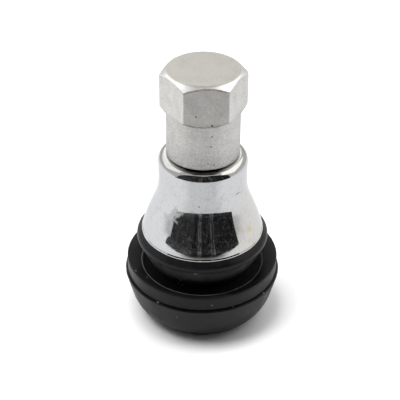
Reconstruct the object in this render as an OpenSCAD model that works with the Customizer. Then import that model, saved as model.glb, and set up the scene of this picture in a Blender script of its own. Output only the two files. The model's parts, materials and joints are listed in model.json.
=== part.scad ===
// Snap-in tubeless tyre valve: a moulded rubber body on a brass stem, a bright
// drawn sleeve over the rubber, a hexagon cap and a screwed-in valve core.
// Millimetres, +Z up. The origin is the centre of the foot that the valve stands on.
// The fine threads are drawn as plain cylinders with their running clearance.

/* [Rubber body] */
// Outer diameter of the flat ring that touches the ground
foot_d = 13.86; // [12:0.02:15]
// Diameter of the hollow in the underside, at its mouth
hollow_d = 8.6; // [7:0.1:10]
// Depth of that hollow
hollow_depth = 1.6; // [0.8:0.1:2]
// Diameter of the air hole between the hollow and the stem
inlet_d = 4; // [3:0.1:5]
// Height of the domed base, up to the step under the band
dome_h = 6.1; // [5.6:0.1:7]
// Largest diameter of the domed base, at its top edge
dome_d = 19.92; // [19.6:0.02:21]
// Lean of the straight upper side of the dome, from upright, in degrees
dome_taper = 14.5; // [12:0.5:17]
// Radius of the dome's lower curve
dome_belly_r = 5.75; // [5:0.25:7]
// Rounding of the dome's top edge
dome_edge_r = 0.14; // [0.05:0.01:0.2]
// Diameter of the band above the dome
band_d = 19.3; // [18.6:0.1:19.5]
// Height of the band
band_h = 1.97; // [1.6:0.01:2.4]
// Rounding of the band's top edge
band_edge_r = 0.12; // [0.05:0.01:0.2]
// Width and depth of the crease between dome and band
crease_w = 0.16; // [0.08:0.02:0.3]
// Diameter of the mould line in the dished top of the flange
dish_d = 15.58; // [14.5:0.02:16.5]
// How far the mould line lies below the flange's outer edge
dish_depth = 0.94; // [0.6:0.02:1.2]
// Drop from the mould line to the sealing face round the neck
dish_step = 0.22; // [0.1:0.02:0.4]
// Diameter of the tapered neck where it meets the sealing face, in the wheel's valve hole
neck_d = 12.44; // [11.9:0.02:13]
// Diameter of the lip's crest, which the neck widens to
lip_d = 16.68; // [16.2:0.02:17.2]
// Height of the crest above the sealing face
lip_h = 4.44; // [4:0.02:4.8]
// Height from the crest up to the sleeve's lower edge
lip_top_h = 0.92; // [0.8:0.02:1.2]
// Rounding of the crest
lip_crest_r = 0.8; // [0.5:0.05:0.9]

/* [Sleeve] */
// Height of the sleeve, from its lower edge to the crest of its mouth
sleeve_h = 11.05; // [10.6:0.01:12.5]
// Thickness of the sleeve's sheet
sleeve_wall = 0.3; // [0.2:0.05:0.4]
// Outer diameter of the sleeve's lower edge
sleeve_d = 15.44; // [14.8:0.02:16]
// Outer diameter of the sleeve's neck
sleeve_neck_d = 11.1; // [10.6:0.02:11.6]
// Lean of the lower edge, from upright, in degrees
sleeve_rim_lean = 13.5; // [11:0.5:16]
// Lean of the bell, from upright, in degrees
bell_lean = 21.5; // [19:0.5:24]
// Radius of the bell's lower, outward curve
bell_low_r = 22; // [14:0.5:24]
// Radius of the bell's upper, inward curve
bell_high_r = 8.4; // [6:0.1:10]
// Outer radius of the rolled mouth
roll_r = 0.96; // [0.7:0.02:1.1]
// Gap between the rolled mouth's inner edge and the stem's thread
mouth_gap = 0.34; // [0.2:0.02:0.6]

/* [Stem] */
// Outer diameter of the thread for the cap
thread_d = 7.7; // [7.4:0.1:8]
// Length of thread that stands above the sleeve
thread_out = 9.67; // [9:0.01:11]
// Pitch of the cap's thread, 32 to the inch. The run-out groove below it is one pitch long.
thread_pitch = 0.79375; // [0.7:0.00125:0.9]
// Lead-in chamfer at the stem's tip
tip_chamfer = 0.5; // [0.3:0.05:0.7]
// Diameter of the stem's upper body, inside the rubber
stem_body_d = 6.9; // [6.6:0.1:7.2]
// Length of that upper body
stem_body_l = 8.6; // [8:0.1:9.2]
// Diameter of the stem's lower shank
shank_d = 5.4; // [5:0.1:5.8]
// Diameter of the flange at the stem's foot
flange_d = 7.6; // [7:0.1:8.2]
// Thickness of that flange
flange_t = 0.9; // [0.7:0.1:1.3]
// Height of the stem's lower end above the ground
stem_base = 2.4; // [2.1:0.1:3]
// How many barbs hold the shank in the rubber
barb_count = 4; // [2:1:5]
// How far a barb stands out from the shank
barb_h = 0.35; // [0.2:0.05:0.5]
// Diameter of the air passage through the shank
passage_d = 2.7; // [2.4:0.1:3]

/* [Valve core] */
// Diameter of the threaded bore for the core
core_bore_d = 5.3; // [5.2:0.02:5.4]
// Depth of that bore below the stem's tip
core_bore_depth = 7; // [6.8:0.1:7.4]
// Diameter of the throat that the barrel hangs in
throat_d = 4.16; // [4:0.02:4.3]
// Room left in the throat under the pin when it is pressed right down
throat_spare = 0.6; // [0.3:0.1:1]
// Depth of the tapered seat's lower end below the stem's tip
seat_depth = 9.1; // [8.9:0.1:9.3]
// Height of the tapered seat
seat_h = 1; // [0.8:0.1:1.1]
// Widening of the tapered seat, on the radius
seat_flare = 0.2; // [0.12:0.02:0.26]
// Length of the plug's thread
plug_l = 4.1; // [3.8:0.1:4.4]
// Depth of the plug's thread below the stem's tip, at its top
plug_depth = 2.4; // [2.2:0.1:2.8]
// Height of the bridge on the plug
bridge_h = 1.5; // [1.2:0.1:1.7]
// Thickness of the bridge, across its flats
bridge_t = 1.4; // [1.2:0.1:1.8]
// Thickness of the bridge's crossbar
bar_h = 0.6; // [0.4:0.05:0.8]
// Diameter of the clear bore inside the plug
plug_bore_d = 2.6; // [2.4:0.1:2.8]
// Outer diameter of the barrel
barrel_d = 3.8; // [3.7:0.02:3.9]
// Diameter of the barrel's collar above its gasket
collar_d = 4.44; // [4.3:0.02:4.6]
// Height of that collar
collar_h = 1.1; // [0.9:0.05:1.2]
// Length of the barrel below the lower end of its gasket
barrel_l = 4.7; // [4.4:0.1:5]
// Bore of the barrel, where the spring stands
barrel_bore_d = 2.5; // [2.4:0.05:2.6]
// Hole for the pin through the barrel's floor
barrel_hole_d = 1.6; // [1.4:0.1:1.8]
// Thickness of the barrel's floor
barrel_floor_t = 1.4; // [1.2:0.1:1.6]
// Depth of the gasket's groove in the barrel
gasket_groove = 0.22; // [0.15:0.01:0.3]
// Diameter of the swivel neck on top of the barrel
swivel_d = 2.96; // [2.9:0.02:3.1]
// Diameter of the swivel's head
swivel_head_d = 3.4; // [3.3:0.05:3.6]
// Height of the swivel's head
swivel_head_h = 0.42; // [0.3:0.02:0.5]
// Diameter of the pin
pin_d = 1; // [0.9:0.05:1.1]
// Depth of the pin's tip below the stem's tip
pin_depth = 0.4; // [0.3:0.05:0.8]
// How far the pin can be pressed
pin_travel = 1.2; // [0.8:0.1:1.4]
// Diameter of the pin's collar, which the spring pushes on
pin_collar_d = 2; // [1.8:0.05:2.2]
// Thickness of that collar
pin_collar_t = 0.35; // [0.25:0.05:0.5]
// Depth of the collar's underside below the stem's tip
pin_collar_depth = 7; // [6.8:0.1:7.4]
// Diameter of the riveted lower end of the pin
rivet_d = 1.6; // [1.4:0.1:1.8]
// Height of the riveted end
rivet_h = 0.3; // [0.2:0.05:0.4]
// Diameter of the spring's wire
wire_d = 0.26; // [0.2:0.02:0.3]
// Mean diameter of the spring's coils
coil_d = 1.7; // [1.6:0.02:1.8]
// Coils between the spring's closed end turns
coil_turns = 5; // [3:1:7]
// Diameter of the cup on the pin's lower end
cup_d = 3.7; // [3.6:0.02:3.8]
// Thickness of the cup's floor and wall
cup_t = 0.22; // [0.15:0.01:0.3]
// Height of the washer in the cup
cup_washer_h = 0.8; // [0.6:0.05:1]
// How far the washer stands above the cup's rim
cup_washer_proud = 0.2; // [0.1:0.05:0.3]

/* [Cap] */
// Width of the cap's hexagon across its flats
hex_af = 9.2; // [9.1:0.05:10]
// Turn of the hexagon about the valve's axis, in degrees
hex_turn = 4.2; // [0:0.1:30]
// Height of the hexagon's corners, from the cap's top to their lower end
hex_h = 4.76; // [4:0.02:6]
// Diameter of the flat circle on top of the cap
cap_top_d = 8.75; // [8:0.05:9]
// Slope of the chamfer round the top, in degrees
top_chamfer_a = 34.5; // [25:0.5:45]
// Slope of the chamfer under the hexagon, in degrees
low_chamfer_a = 36; // [25:0.5:45]
// Diameter of the cap's round skirt
skirt_d = 9.04; // [8.9:0.02:9.1]
// Gap between the skirt's end and the crest of the sleeve's mouth
cap_gap = 0.22; // [0.1:0.02:0.6]
// Chamfer inside the skirt's mouth
mouth_chamfer = 0.3; // [0.1:0.05:0.4]
// Thickness of the cap's roof
roof_t = 1.06; // [0.8:0.02:1.4]
// Thickness of the sealing washer in the cap
cap_washer_t = 0.8; // [0.6:0.05:1]
// Hole through that washer
cap_washer_hole_d = 4.4; // [3.6:0.1:5]

/* [Fits] */
// Radial clearance between a thread or pin and the hole it runs in
run_fit = 0.05; // [0.03:0.01:0.08]
// Gap where rubber is moulded or pressed on metal
bond_gap = 0.03; // [0.01:0.01:0.05]
// Gap between faces that only rest on each other
face_gap = 0.01; // [0.01:0.01:0.03]

/* [Hidden] */
$fn = 96;

RUBBER = "#2b2b2d";
BRASS = "#c9a552";
CHROME = "#c4c6c9";
PLATE = "#b9b8b4";
STEEL = "#9a9da1";
SEAL = "#4a3230";

// Heights of the outside, from the ground up
z_step = dome_h;
z_edge = z_step + band_h;
z_line = z_edge - dish_depth;
z_seal = z_line - dish_step;
z_lip = z_seal + lip_h;
z_sleeve = z_lip + lip_top_h;
z_mouth = z_sleeve + sleeve_h;
z_skirt = z_mouth + cap_gap;
z_tip = z_mouth + thread_out;
z_roof = z_tip + cap_washer_t + face_gap;
z_top = z_roof + roof_t;

// Heights inside, most of them counted down from the stem's tip
z_thread = z_tip - core_bore_depth;
z_seat = z_tip - seat_depth;
z_runout = z_mouth - roll_r;
z_rubber_top = z_runout - thread_pitch - bond_gap;
z_plug_top = z_tip - plug_depth;
z_plug = z_plug_top - plug_l;
z_barrel = z_seat - barrel_l;
z_barrel_floor = z_barrel + barrel_floor_t;
z_gasket_top = z_seat + seat_h + run_fit;
z_collar_top = z_gasket_top + collar_h;
z_swivel_head = z_plug + swivel_head_h;
z_swivel_top = z_swivel_head + swivel_head_h;
z_pin_collar = z_tip - pin_collar_depth;
z_cup_washer = z_barrel - face_gap - cup_washer_h;
z_cup = z_cup_washer - face_gap - cup_t;
z_pin_end = z_cup - face_gap - rivet_h;
z_throat = z_pin_end - pin_travel - throat_spare;

// How far a cut runs past the face that it opens
past = 1;

// Radii that more than one piece shares
thread_r = thread_d / 2;
cap_bore_r = thread_r + run_fit;
core_bore_r = core_bore_d / 2;
throat_r = throat_d / 2;
groove_r = barrel_d / 2 - gasket_groove;
swivel_lip_h = swivel_head_h - 2 * face_gap;
mouth_r = thread_r + mouth_gap;

function reversed(points) = [for (i = [len(points) - 1 : -1 : 0]) points[i]];

// Points of an arc about centre c, from angle a0 to angle a1 in degrees, counted from +X
function arc(c, r, a0, a1, steps) =
    [for (i = [0 : steps]) let (a = a0 + (a1 - a0) * i / steps) c + r * [cos(a), sin(a)]];

// Width that the bell's two curves take at their full radii, and how much of it there is room for
bell_run = bell_low_r * (cos(sleeve_rim_lean) - cos(bell_lean)) + bell_high_r * (1 - cos(bell_lean));
bell_fit = min(1, 0.95 * (sleeve_d - sleeve_neck_d) / 2 / bell_run);

// The sleeve's side from its lower edge up to its neck, moved inwards by inset
function bell(inset) =
    let (low_r = bell_low_r * bell_fit,
         high_r = bell_high_r * bell_fit,
         low_c = [sleeve_d / 2 - low_r * cos(sleeve_rim_lean),
                  z_sleeve - low_r * sin(sleeve_rim_lean)],
         low_end = low_c + low_r * [cos(bell_lean), sin(bell_lean)],
         high_start_x = sleeve_neck_d / 2 + high_r * (1 - cos(bell_lean)),
         cone_h = (low_end.x - high_start_x) / tan(bell_lean),
         neck_z = min(low_end.y + cone_h + high_r * sin(bell_lean), z_rubber_top - bond_gap))
    concat(arc(low_c, low_r - inset, sleeve_rim_lean, bell_lean, 6),
           arc([sleeve_neck_d / 2 + high_r, neck_z], high_r + inset, 180 + bell_lean, 180, 6));

// Inside of the bell above its lower edge, which is cut off flat, with inset as above
function bell_inside(inset, z_low) =
    concat([[sleeve_d / 2 - inset / cos(sleeve_rim_lean), z_low]],
           [for (p = bell(inset)) if (p.y > z_sleeve) p]);

// The rolled mouth, from the neck over the crest to its inner edge, moved inwards by inset
function mouth_roll(inset) =
    let (c = [sleeve_neck_d / 2 - roll_r, z_mouth - roll_r],
         past_crest = asin(max(0, min(0.95, (c.x - mouth_r) / roll_r))))
    arc(c, roll_r - inset, 0, 90 + past_crest, 10);

// Outside of the brass stem from its foot up to the tip, grown by gap all round
function stem_side(gap) =
    let (z_flange = stem_base + flange_t,
         z_body = z_runout - thread_pitch - stem_body_l,
         z_cone = z_body - (stem_body_d - shank_d) / 2,
         barb_pitch = (z_cone - z_flange) / (barb_count + 1),
         first_barb = z_flange + barb_pitch * 3 / 4)
    concat([[flange_d / 2 + gap, stem_base - gap], [flange_d / 2 + gap, z_flange + gap],
            [shank_d / 2 + gap, z_flange + gap]],
           [for (i = [0 : barb_count - 1], p = [[0, 0], [barb_h, 0], [0, barb_pitch / 2]])
               [shank_d / 2 + gap + p.x, first_barb + barb_pitch * i + p.y]],
           [[shank_d / 2 + gap, z_cone], [stem_body_d / 2 + gap, z_body],
            [stem_body_d / 2 + gap, z_runout]]);

// Side of the rubber dome, from the ground up to the step under the band
function dome_side() =
    let (span = foot_d / 2 - dome_d / 2 + dome_h * tan(dome_taper),
         foot_lean = dome_taper + acos(1 + span * cos(dome_taper) / dome_belly_r),
         c = [foot_d / 2 - dome_belly_r * cos(foot_lean), dome_belly_r * sin(foot_lean)],
         edge_c = [dome_d / 2 - dome_edge_r / cos(dome_taper) - dome_edge_r * tan(dome_taper),
                   z_step - dome_edge_r])
    concat(arc(c, dome_belly_r, -foot_lean, -dome_taper, 10),
           arc(edge_c, dome_edge_r, -dome_taper, 90, 4));

// Crest of the lip, as an arc that both the neck's side and the line to the sleeve's edge touch
function lip_crest() =
    let (r = min(lip_crest_r, 0.85 * lip_top_h),
         c = [lip_d / 2 - r, z_lip],
         low = c - [neck_d / 2, z_seal],
         high = [sleeve_d / 2, z_sleeve - face_gap] - c,
         taper = atan(low.x / low.y) + asin(r / norm(low)),
         shoulder = atan2(high.y, high.x) - acos(r / norm(high)))
    arc(c, r, -taper, shoulder, 8);

// Band, dished flange, tapered neck and lip, from the crease up to the sleeve's lower edge
function collar_side() =
    let (edge_c = [band_d / 2 - band_edge_r, z_edge - band_edge_r],
         dish_lean = atan(dish_depth / (band_d / 2 - dish_d / 2)))
    concat([[band_d / 2 - crease_w, z_step], [band_d / 2 - crease_w, z_step + crease_w / 2],
            [band_d / 2, z_step + crease_w]],
           arc(edge_c, band_edge_r, 0, 90 + dish_lean, 4),
           [[dish_d / 2, z_line], [dish_d / 2, z_seal + dish_step / 3],
            [dish_d / 2 - dish_step, z_seal], [neck_d / 2, z_seal]],
           lip_crest(),
           [[sleeve_d / 2, z_sleeve - face_gap]]);

module rubber_body() {
    inset = sleeve_wall + bond_gap;
    color(RUBBER)
    rotate_extrude()
    polygon(concat([[hollow_d / 2, 0]],
                   dome_side(),
                   collar_side(),
                   bell_inside(inset, z_sleeve - face_gap),
                   [[sleeve_neck_d / 2 - inset, z_rubber_top],
                    [stem_body_d / 2 + bond_gap, z_rubber_top]],
                   reversed([for (p = stem_side(bond_gap)) if (p.y < z_rubber_top) p]),
                   [[inlet_d / 2, stem_base - bond_gap], [inlet_d / 2, hollow_depth]]));
}

module sleeve() {
    color(CHROME)
    rotate_extrude()
    polygon(concat(bell(0), mouth_roll(0),
                   reversed(mouth_roll(sleeve_wall)),
                   reversed(bell_inside(sleeve_wall, z_sleeve))));
}

module stem() {
    seat_r = throat_r + seat_flare;
    color(BRASS)
    rotate_extrude()
    polygon(concat(
        [[passage_d / 2, stem_base]],
        stem_side(0),
        [[thread_r, z_runout + thread_r - stem_body_d / 2],
         [thread_r, z_tip - tip_chamfer], [thread_r - tip_chamfer, z_tip],
         [core_bore_r + mouth_chamfer, z_tip], [core_bore_r, z_tip - mouth_chamfer],
         [core_bore_r, z_thread], [seat_r, z_thread - core_bore_r + seat_r],
         [seat_r, z_seat + seat_h], [throat_r, z_seat],
         [throat_r, z_throat], [passage_d / 2, z_throat - throat_r + passage_d / 2]]));
}

// The plug screws into the stem. Its bridge takes the core tool and guides the pin.
module core_plug() {
    thread = core_bore_r - run_fit;
    post_r = thread - mouth_chamfer;
    color(BRASS) {
        difference() {
            union() {
                translate([0, 0, z_plug]) cylinder(r = thread, h = plug_l);
                intersection() {
                    translate([0, 0, z_plug_top - bar_h])
                        cylinder(r = post_r, h = bridge_h + bar_h);
                    translate([-thread, -bridge_t / 2, z_plug_top - bar_h])
                        cube([2 * thread, bridge_t, bridge_h + bar_h]);
                }
            }
            translate([0, 0, z_swivel_head + swivel_head_h])
                cylinder(d = plug_bore_d, h = z_plug_top + bridge_h - bar_h - z_swivel_top);
            translate([0, 0, z_plug + swivel_lip_h])
                cylinder(r = swivel_head_d / 2 + run_fit, h = swivel_head_h + 3 * face_gap);
            translate([0, 0, z_plug - face_gap])
                cylinder(r = swivel_d / 2 + run_fit, h = swivel_lip_h + 2 * face_gap);
            cylinder(r = pin_d / 2 + run_fit, h = z_top);
        }
    }
}

// The barrel hangs from the plug on its swivel neck and holds the spring.
module core_barrel() {
    color(BRASS)
    rotate_extrude()
    polygon([[barrel_hole_d / 2, z_barrel], [barrel_d / 2, z_barrel],
             [barrel_d / 2, z_seat], [groove_r, z_seat], [groove_r, z_gasket_top],
             [collar_d / 2, z_gasket_top], [collar_d / 2, z_collar_top],
             [swivel_d / 2, z_collar_top], [swivel_d / 2, z_swivel_head],
             [swivel_head_d / 2, z_swivel_head], [swivel_head_d / 2, z_swivel_top],
             [barrel_bore_d / 2, z_swivel_top], [barrel_bore_d / 2, z_barrel_floor],
             [barrel_hole_d / 2, z_barrel_floor]]);
}

// The tapered ring that seals the barrel against the seat in the stem.
module barrel_gasket() {
    seat_r = throat_r + seat_flare;
    color(SEAL)
    rotate_extrude()
    polygon([[groove_r + bond_gap, z_seat + face_gap],
             [throat_r - bond_gap, z_seat + face_gap],
             [seat_r - bond_gap, z_seat + seat_h],
             [seat_r - bond_gap, z_gasket_top - face_gap],
             [groove_r + bond_gap, z_gasket_top - face_gap]]);
}

// Height of the spring's centre line after t turns, with one closed turn at each end
function coil_z(t, low, high) =
    let (end_pitch = wire_d + face_gap,
         span = high - low - 2 * end_pitch)
    t < 1 ? low + t * end_pitch
    : t > coil_turns + 1 ? high - (coil_turns + 2 - t) * end_pitch
    : low + end_pitch + (t - 1) / coil_turns * span;

// Wire swept along a helix: ring after ring of points, joined by faces, with flat ends
module core_spring() {
    sides = 8;
    steps_per_turn = 16;
    steps = (coil_turns + 2) * steps_per_turn;
    low = z_barrel_floor + face_gap + wire_d / 2;
    high = z_pin_collar - face_gap - wire_d / 2;
    points = [for (i = [0 : steps], k = [0 : sides - 1])
        let (t = i / steps_per_turn,
             a = 360 * t,
             b = 360 * k / sides,
             r = coil_d / 2 + wire_d / 2 * cos(b))
        [r * cos(a), r * sin(a), coil_z(t, low, high) + wire_d / 2 * sin(b)]];
    skin = [for (i = [0 : steps - 1], k = [0 : sides - 1])
        let (n = (k + 1) % sides, a = i * sides, b = a + sides)
        [a + k, b + k, b + n, a + n]];
    ends = [[for (k = [0 : sides - 1]) k],
            [for (k = [sides - 1 : -1 : 0]) steps * sides + k]];
    color(STEEL) polyhedron(points, concat(skin, ends), convexity = 10);
}

// The pin with its collar. It is pressed down to let air in or out.
module core_pin() {
    color(BRASS)
    rotate_extrude()
    polygon([[0, z_pin_end], [rivet_d / 2, z_pin_end], [rivet_d / 2, z_cup - face_gap],
             [pin_d / 2, z_cup - face_gap], [pin_d / 2, z_pin_collar],
             [pin_collar_d / 2, z_pin_collar], [pin_collar_d / 2, z_pin_collar + pin_collar_t],
             [pin_d / 2, z_pin_collar + pin_collar_t], [pin_d / 2, z_tip - pin_depth - pin_d / 4],
             [pin_d / 4, z_tip - pin_depth], [0, z_tip - pin_depth]]);
}

// The cup riveted on the pin's lower end, open upwards.
module pin_cup() {
    hole_r = pin_d / 2 + bond_gap;
    rim_z = z_barrel - face_gap - cup_washer_proud;
    color(BRASS)
    rotate_extrude()
    polygon([[hole_r, z_cup], [cup_d / 2, z_cup], [cup_d / 2, rim_z],
             [cup_d / 2 - cup_t, rim_z], [cup_d / 2 - cup_t, z_cup + cup_t],
             [hole_r, z_cup + cup_t]]);
}

// The rubber washer in the cup, which closes the barrel's lower end.
module cup_washer() {
    color(RUBBER)
    translate([0, 0, z_cup_washer])
    difference() {
        cylinder(r = cup_d / 2 - cup_t - bond_gap, h = cup_washer_h);
        translate([0, 0, -past]) cylinder(r = pin_d / 2 + bond_gap, h = cup_washer_h + 2 * past);
    }
}

// The washer under the cap's roof, which seals on the stem's tip.
module cap_washer() {
    color(SEAL)
    translate([0, 0, z_tip + face_gap / 2])
    difference() {
        cylinder(r = thread_r, h = cap_washer_t);
        translate([0, 0, -past]) cylinder(d = cap_washer_hole_d, h = cap_washer_t + 2 * past);
    }
}

// A hexagon bar with both ends turned to a cone, over the cap's full height
module chamfered_hexagon() {
    corner_r = hex_af / 2 / cos(30);
    z_corner_low = z_top - hex_h;
    flat_drop = (corner_r - skirt_d / 2) * tan(low_chamfer_a);
    top_drop = (corner_r - cap_top_d / 2) * tan(top_chamfer_a);
    intersection() {
        rotate([0, 0, hex_turn])
            translate([0, 0, z_corner_low - flat_drop])
            cylinder(r = corner_r, h = z_top, $fn = 6);
        rotate_extrude()
            polygon([[0, z_corner_low - flat_drop], [skirt_d / 2, z_corner_low - flat_drop],
                     [corner_r, z_corner_low], [corner_r, z_top - top_drop],
                     [cap_top_d / 2, z_top], [0, z_top]]);
    }
}

module cap() {
    color(PLATE)
    difference() {
        union() {
            chamfered_hexagon();
            translate([0, 0, z_skirt]) cylinder(d = skirt_d, h = z_top - hex_h - z_skirt);
        }
        rotate_extrude()
            polygon([[0, z_skirt - past], [cap_bore_r + mouth_chamfer, z_skirt - past],
                     [cap_bore_r + mouth_chamfer, z_skirt],
                     [cap_bore_r, z_skirt + mouth_chamfer], [cap_bore_r, z_roof], [0, z_roof]]);
    }
}

rubber_body();
sleeve();
stem();
core_plug();
core_barrel();
barrel_gasket();
core_spring();
core_pin();
pin_cup();
cup_washer();
cap_washer();
cap();
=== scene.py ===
"""Snap-in tubeless tyre valve: its dressed pieces, its studio and its camera.

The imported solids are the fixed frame. Each sub-assembly is a class that builds finer meshes
for its pieces, dresses them and hands them to the body that carries them. Sizes in the
classes are millimetres and degrees, as on a drawing. Meshes are in metres.
"""

import json
import logging
import math
from abc import ABC, abstractmethod
from dataclasses import dataclass, field, replace
from enum import Enum
from typing import Callable, ClassVar, Sequence

import bmesh
import bpy
from bpy.types import Material, Mesh, Node, NodeSocket, NodeTree
from mathutils import Matrix, Vector

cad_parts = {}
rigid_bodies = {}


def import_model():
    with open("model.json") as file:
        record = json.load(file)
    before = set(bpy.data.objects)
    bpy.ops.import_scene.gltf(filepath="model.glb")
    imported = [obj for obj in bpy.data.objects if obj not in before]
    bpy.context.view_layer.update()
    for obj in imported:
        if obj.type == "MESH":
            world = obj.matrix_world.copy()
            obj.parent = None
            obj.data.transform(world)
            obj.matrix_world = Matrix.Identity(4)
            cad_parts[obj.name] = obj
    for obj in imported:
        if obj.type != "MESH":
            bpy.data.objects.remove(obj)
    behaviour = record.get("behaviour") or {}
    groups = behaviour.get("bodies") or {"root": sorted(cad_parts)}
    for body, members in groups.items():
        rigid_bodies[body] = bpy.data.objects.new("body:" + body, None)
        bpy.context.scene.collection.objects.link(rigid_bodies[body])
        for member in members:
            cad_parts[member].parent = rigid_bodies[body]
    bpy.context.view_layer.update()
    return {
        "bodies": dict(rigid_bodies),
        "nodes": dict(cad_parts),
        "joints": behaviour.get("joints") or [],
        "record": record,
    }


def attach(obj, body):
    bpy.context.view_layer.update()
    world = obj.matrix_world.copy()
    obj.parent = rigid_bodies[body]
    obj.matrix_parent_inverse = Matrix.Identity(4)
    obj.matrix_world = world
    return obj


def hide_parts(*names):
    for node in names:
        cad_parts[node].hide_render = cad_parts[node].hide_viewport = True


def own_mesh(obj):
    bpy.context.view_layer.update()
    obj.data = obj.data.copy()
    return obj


LOG = logging.getLogger("valve")
MM = 0.001
MERGE_DISTANCE = 1e-7
FLAT_ANGLE = math.radians(1)
EDGE_ANGLE = math.radians(35)
SMOOTH_ANGLE = math.radians(32)

SOCKET_KINDS = {
    int: "NodeSocketInt",
    float: "NodeSocketFloat",
    tuple: "NodeSocketVector",
    type(None): "NodeSocketMaterial",
}

Colour = tuple[float, float, float]
Point = tuple[float, float]
Piece = bpy.types.Object


class Body(Enum):
    """Bodies of the valve that move against each other."""

    VALVE = "valve_body"
    PIN = "pin"
    SEAL = "cap_seal"
    CAP = "cap"


class Slot(Enum):
    """Material slots of the record."""

    RUBBER = "black_rubber"
    SLEEVE = "sleeve_chrome"
    CAP = "cap_plate"
    STEM = "stem_brass"
    CORE = "core_brass"
    SPRING = "spring_steel"
    SEAL = "seal_rubber"


@dataclass(frozen=True)
class Heights:
    """Heights above the ground that more than one piece uses, in millimetres."""

    step: float = 6.1
    edge: float = 8.07
    mould_line: float = 7.13
    seal: float = 6.91
    lip: float = 11.35
    sleeve: float = 12.27
    mouth: float = 23.32
    skirt: float = 23.54
    tip: float = 32.99
    roof: float = 33.8
    top: float = 34.86
    runout: float = 22.36
    rubber_top: float = 21.536
    core_thread: float = 25.99
    seat: float = 23.89
    throat: float = 16.04
    barrel: float = 19.19
    barrel_floor: float = 20.59
    gasket_top: float = 24.94
    collar_top: float = 26.04
    swivel_head: float = 26.91
    swivel_top: float = 27.33
    pin_collar: float = 25.99
    cup_washer: float = 18.38
    cup: float = 18.15
    pin_end: float = 17.84


AT = Heights()


# Node trees


def arithmetic(operation: str, swapped: bool = False) -> Callable[["Term", "Number"], "Term"]:
    """Makes one of the operators of a term.

    Args:
        operation: The Math node's operation.
        swapped: Whether the term stands on the right.

    Returns:
        The operator's method.
    """

    def method(term: "Term", other: "Number") -> "Term":
        """Adds the Math node and gives its result."""
        return term.graph.math(operation, *((other, term) if swapped else (term, other)))

    return method


class Term:
    """A value in a node tree. Arithmetic on it adds Math nodes to the tree."""

    def __init__(self, graph: "Graph", socket: NodeSocket) -> None:
        """Wraps one output socket of a node in the graph."""
        self.graph = graph
        self.socket = socket

    __add__ = __radd__ = arithmetic("ADD")
    __sub__ = arithmetic("SUBTRACT")
    __rsub__ = arithmetic("SUBTRACT", swapped=True)
    __mul__ = __rmul__ = arithmetic("MULTIPLY")
    __truediv__ = arithmetic("DIVIDE")
    __rtruediv__ = arithmetic("DIVIDE", swapped=True)
    __pow__ = arithmetic("POWER")

    def apply(self, operation: str, *others: "Number") -> "Term":
        """The result of any other Math operation on this value and others."""
        return self.graph.math(operation, self, *others)

    def clamped(self) -> "Term":
        """This value, held between 0 and 1."""
        return self.apply("MAXIMUM", 0.0).apply("MINIMUM", 1.0)

    def thinned(self, share: float) -> "Term":
        """A mask that is 1 where this one is 1, and falls by a share where this one is 0."""
        return self * share + (1.0 - share)


Number = float | Term


def length(x: Term, y: Term) -> Term:
    """The length of a vector's two parts, such as a place's distance from the axis."""
    return (x * x + y * y) ** 0.5


def add_input(tree: NodeTree, name: str, value: object) -> str:
    """Adds a named input to a tree.

    Args:
        tree: The tree.
        name: The input's name.
        value: Its value at first, which says its kind. None makes an input for a material.

    Returns:
        The input's identifier.
    """
    item = tree.interface.new_socket(name, in_out="INPUT", socket_type=SOCKET_KINDS[type(value)])
    if value is not None:
        item.default_value = value
    return item.identifier


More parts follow.
